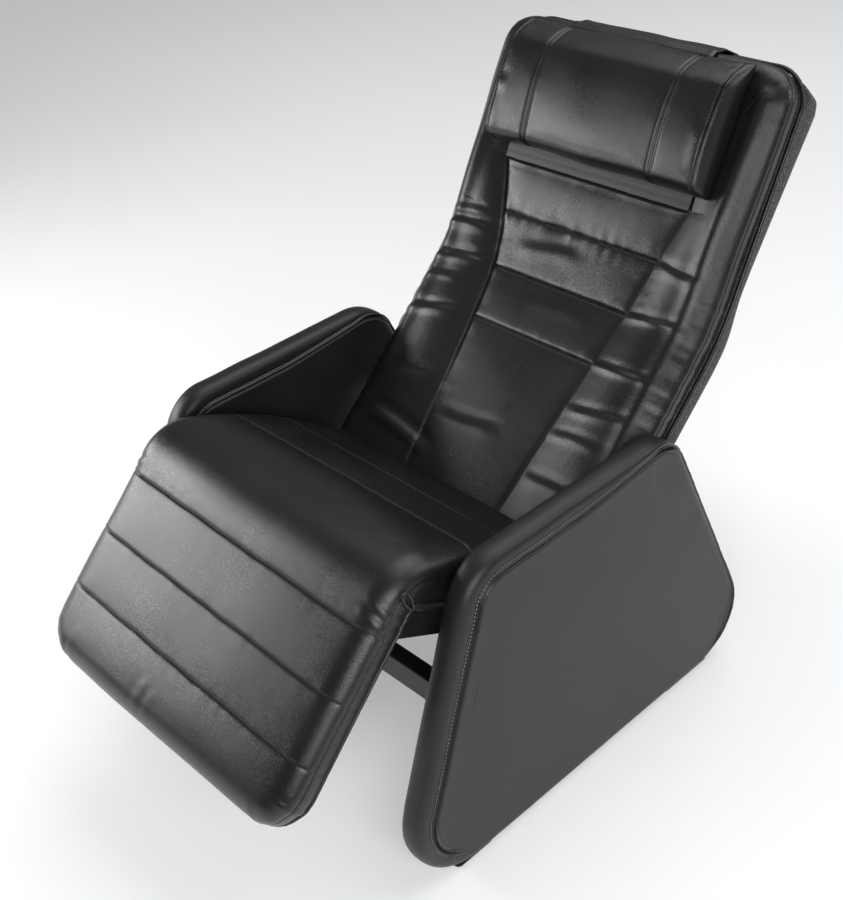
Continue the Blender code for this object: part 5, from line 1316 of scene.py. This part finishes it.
def pillow_flap():
    """The leather flap that hangs the pillow over the back's top, hemmed on both sides."""
    over_top = BACK_LENGTH + 2 * WELT_RADIUS + 0.0022
    rear = COVER_UPPER_DEPTH + 0.004
    spots = (
        (PILLOW_START + PILLOW_LENGTH - 0.012, 0.0070),
        (BACK_LENGTH - 0.022, 0.0040),
        (BACK_LENGTH - 0.003, -0.0050),
        (over_top, -0.034),
        (over_top, -0.62 * COVER_UPPER_DEPTH),
        (BACK_LENGTH - 0.028, -rear),
        (BACK_LENGTH - 0.110, -(rear - 0.003)),
    )
    corners = []
    for length, over in spots:
        spot, normal = BACK_PATH.at(np.array([length]))
        corners.append(spot[0] + normal[0] * over)
    path = SidePath(corners, FLAP_RADII)
    lengths = np.linspace(0, path.length, 64)
    points, normals = path.at(lengths)

    def ripple(across):
        hem = 0.0006 * bell((1 - np.abs(across)) * FLAP_HALF - 0.006, 0.004)
        return hem + 0.0007 * noise(lengths[:, None] / 0.05, across * 3.0 + 4)

    rings = strap(points, normals, FLAP_HALF, FLAP_THICKNESS, ripple)
    flap = dressed(ring_object("pillow_flap_leather", rings, 60.0), LEATHER, "back")
    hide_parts("pillow_flap")
    up = np.column_stack((np.zeros(len(normals)), normals))
    hem = 2
    lines = [(rings[:, column], up) for column in (hem, STRAP_COLUMNS - 1 - hem)]
    stitches("pillow_flap_stitches", lines, "back")


APRON_RADIUS = 0.058
APRON_TURN = math.radians(62.0)
APRON_THICKNESS = 0.003


def crease_apron():
    """The leather apron about the hinge that closes the crease."""
    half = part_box("crease_apron")[1][0]
    begin = math.atan2(BACK_FRONT[1], BACK_FRONT[0])
    angles = begin + APRON_TURN * np.linspace(0, 1, 22)
    normals = np.column_stack((np.cos(angles), np.sin(angles)))
    radius = APRON_RADIUS - APRON_THICKNESS / 2

    def ripple(across):
        return 0.0007 * noise(angles[:, None] * 4, across * 7)

    rings = strap(HINGE + normals * radius, normals, half, APRON_THICKNESS, ripple)
    apron = dressed(ring_object("crease_leather", rings, 60.0), LEATHER, "back")
    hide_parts("crease_apron")


# Stage, lights and camera
FLOOR_SIZE = 12.0
FLOOR_GLOW = (0.28, 0.284, 0.292, 1.0)


def stage():
    """A pale floor that the camera and reflections see near white, with the chair's shadow."""
    look = Look("pale_floor", specular=0.2)
    look.colour(look.ramp(look.noise(0.8), ((0.3, grey(0.70, 1.01)), (0.7, grey(0.74, 1.01)))))
    look.roughness(look.spread(look.noise(40.0), 0.7, 0.8))
    path = look.node("ShaderNodeLightPath", {}, {})
    seen = look.math("MAXIMUM", path.outputs["Is Camera Ray"], path.outputs["Is Glossy Ray"])
    seen = look.math("MAXIMUM", seen, path.outputs["Is Transmission Ray"])
    glow = look.node("ShaderNodeEmission", {"Color": FLOOR_GLOW}, {"Strength": seen})
    both = look.node(
        "ShaderNodeAddShader", {}, {0: look.shader.outputs["BSDF"], 1: glow.outputs["Emission"]}
    )
    surface = look.tree.nodes["Material Output"].inputs["Surface"]
    look.tree.links.new(both.outputs["Shader"], surface)
    signs = ((-1, -1), (1, -1), (1, 1), (-1, 1))
    corners = [(x * FLOOR_SIZE, y * FLOOR_SIZE, 0.0) for x, y in signs]
    floor = mesh_object("floor", corners, [(0, 1, 2, 3)])
    floor.data.materials.append(look.material)


# Name, place, target, size and power
LAMPS = (
    ("softbox", (-2.35, -1.30, 1.26), (0.0, 0.0, 0.65), (1.2, 0.8), 38.0),
    ("low_softbox", (-1.62, -1.75, 0.98), (0.0, 0.2, 0.90), (0.8, 0.4), 11.0),
    ("overhead", (0.2, 2.0, 4.0), (0.2, 2.0, 0.0), (4.0, 4.0), 112.0),
    ("side", (1.75, -1.15, 1.42), (0.30, 0.30, 0.85), (1.4, 0.8), 28.0),
    ("rear", (1.70, 1.50, 1.75), (0.20, 0.0, 0.60), (0.9, 0.45), 10.0),
)
WORLD_COLOUR = (0.97, 0.98, 1.0, 1.0)
WORLD_STRENGTH = 0.20


def lights():
    """Two softboxes at the front, a wide one overhead, one by the camera and one behind."""
    world = bpy.data.worlds.new("studio")
    bpy.context.scene.world = world
    world.use_nodes = True
    background = world.node_tree.nodes["Background"]
    background.inputs["Color"].default_value = WORLD_COLOUR
    background.inputs["Strength"].default_value = WORLD_STRENGTH
    for name, place, target, size, power in LAMPS:
        lamp = bpy.data.lights.new(name, "AREA")
        lamp.shape = "RECTANGLE"
        lamp.size, lamp.size_y = size
        lamp.energy = power
        piece = linked(name, lamp)
        piece.location = place
        piece.visible_camera = False
        way = Vector(target) - Vector(place)
        piece.rotation_euler = way.to_track_quat("-Z", "Y").to_euler()


CAMERA_PLACE = (1.4168, -1.2269 + ORIGIN_Y, 1.7553)
CAMERA_AZIMUTH = math.radians(48.876)
CAMERA_ELEVATION = math.radians(33.891)
CAMERA_ROLL = math.radians(-4.912)
CAMERA_LENS = 53.465


def camera():
    data = bpy.data.cameras.new("camera")
    data.sensor_width = 36.0
    data.lens = CAMERA_LENS
    piece = linked("camera", data)
    tilt = Matrix.Rotation(math.pi / 2 - CAMERA_ELEVATION, 4, "X")
    turn = Matrix.Rotation(CAMERA_AZIMUTH, 4, "Z") @ tilt @ Matrix.Rotation(CAMERA_ROLL, 4, "Z")
    piece.matrix_world = Matrix.Translation(CAMERA_PLACE) @ turn
    bpy.context.scene.camera = piece


bpy.context.scene.view_settings.view_transform = "Standard"
camera()
stage()
lights()
dress_nodes()
seat_pad()
knee_loop()
back_pad()
head_band()
head_pillow()
arm("left", 1)
arm("right", -1)
rear_cover()
welt()
pillow_flap()
crease_apron()
bpy.context.view_layer.update()
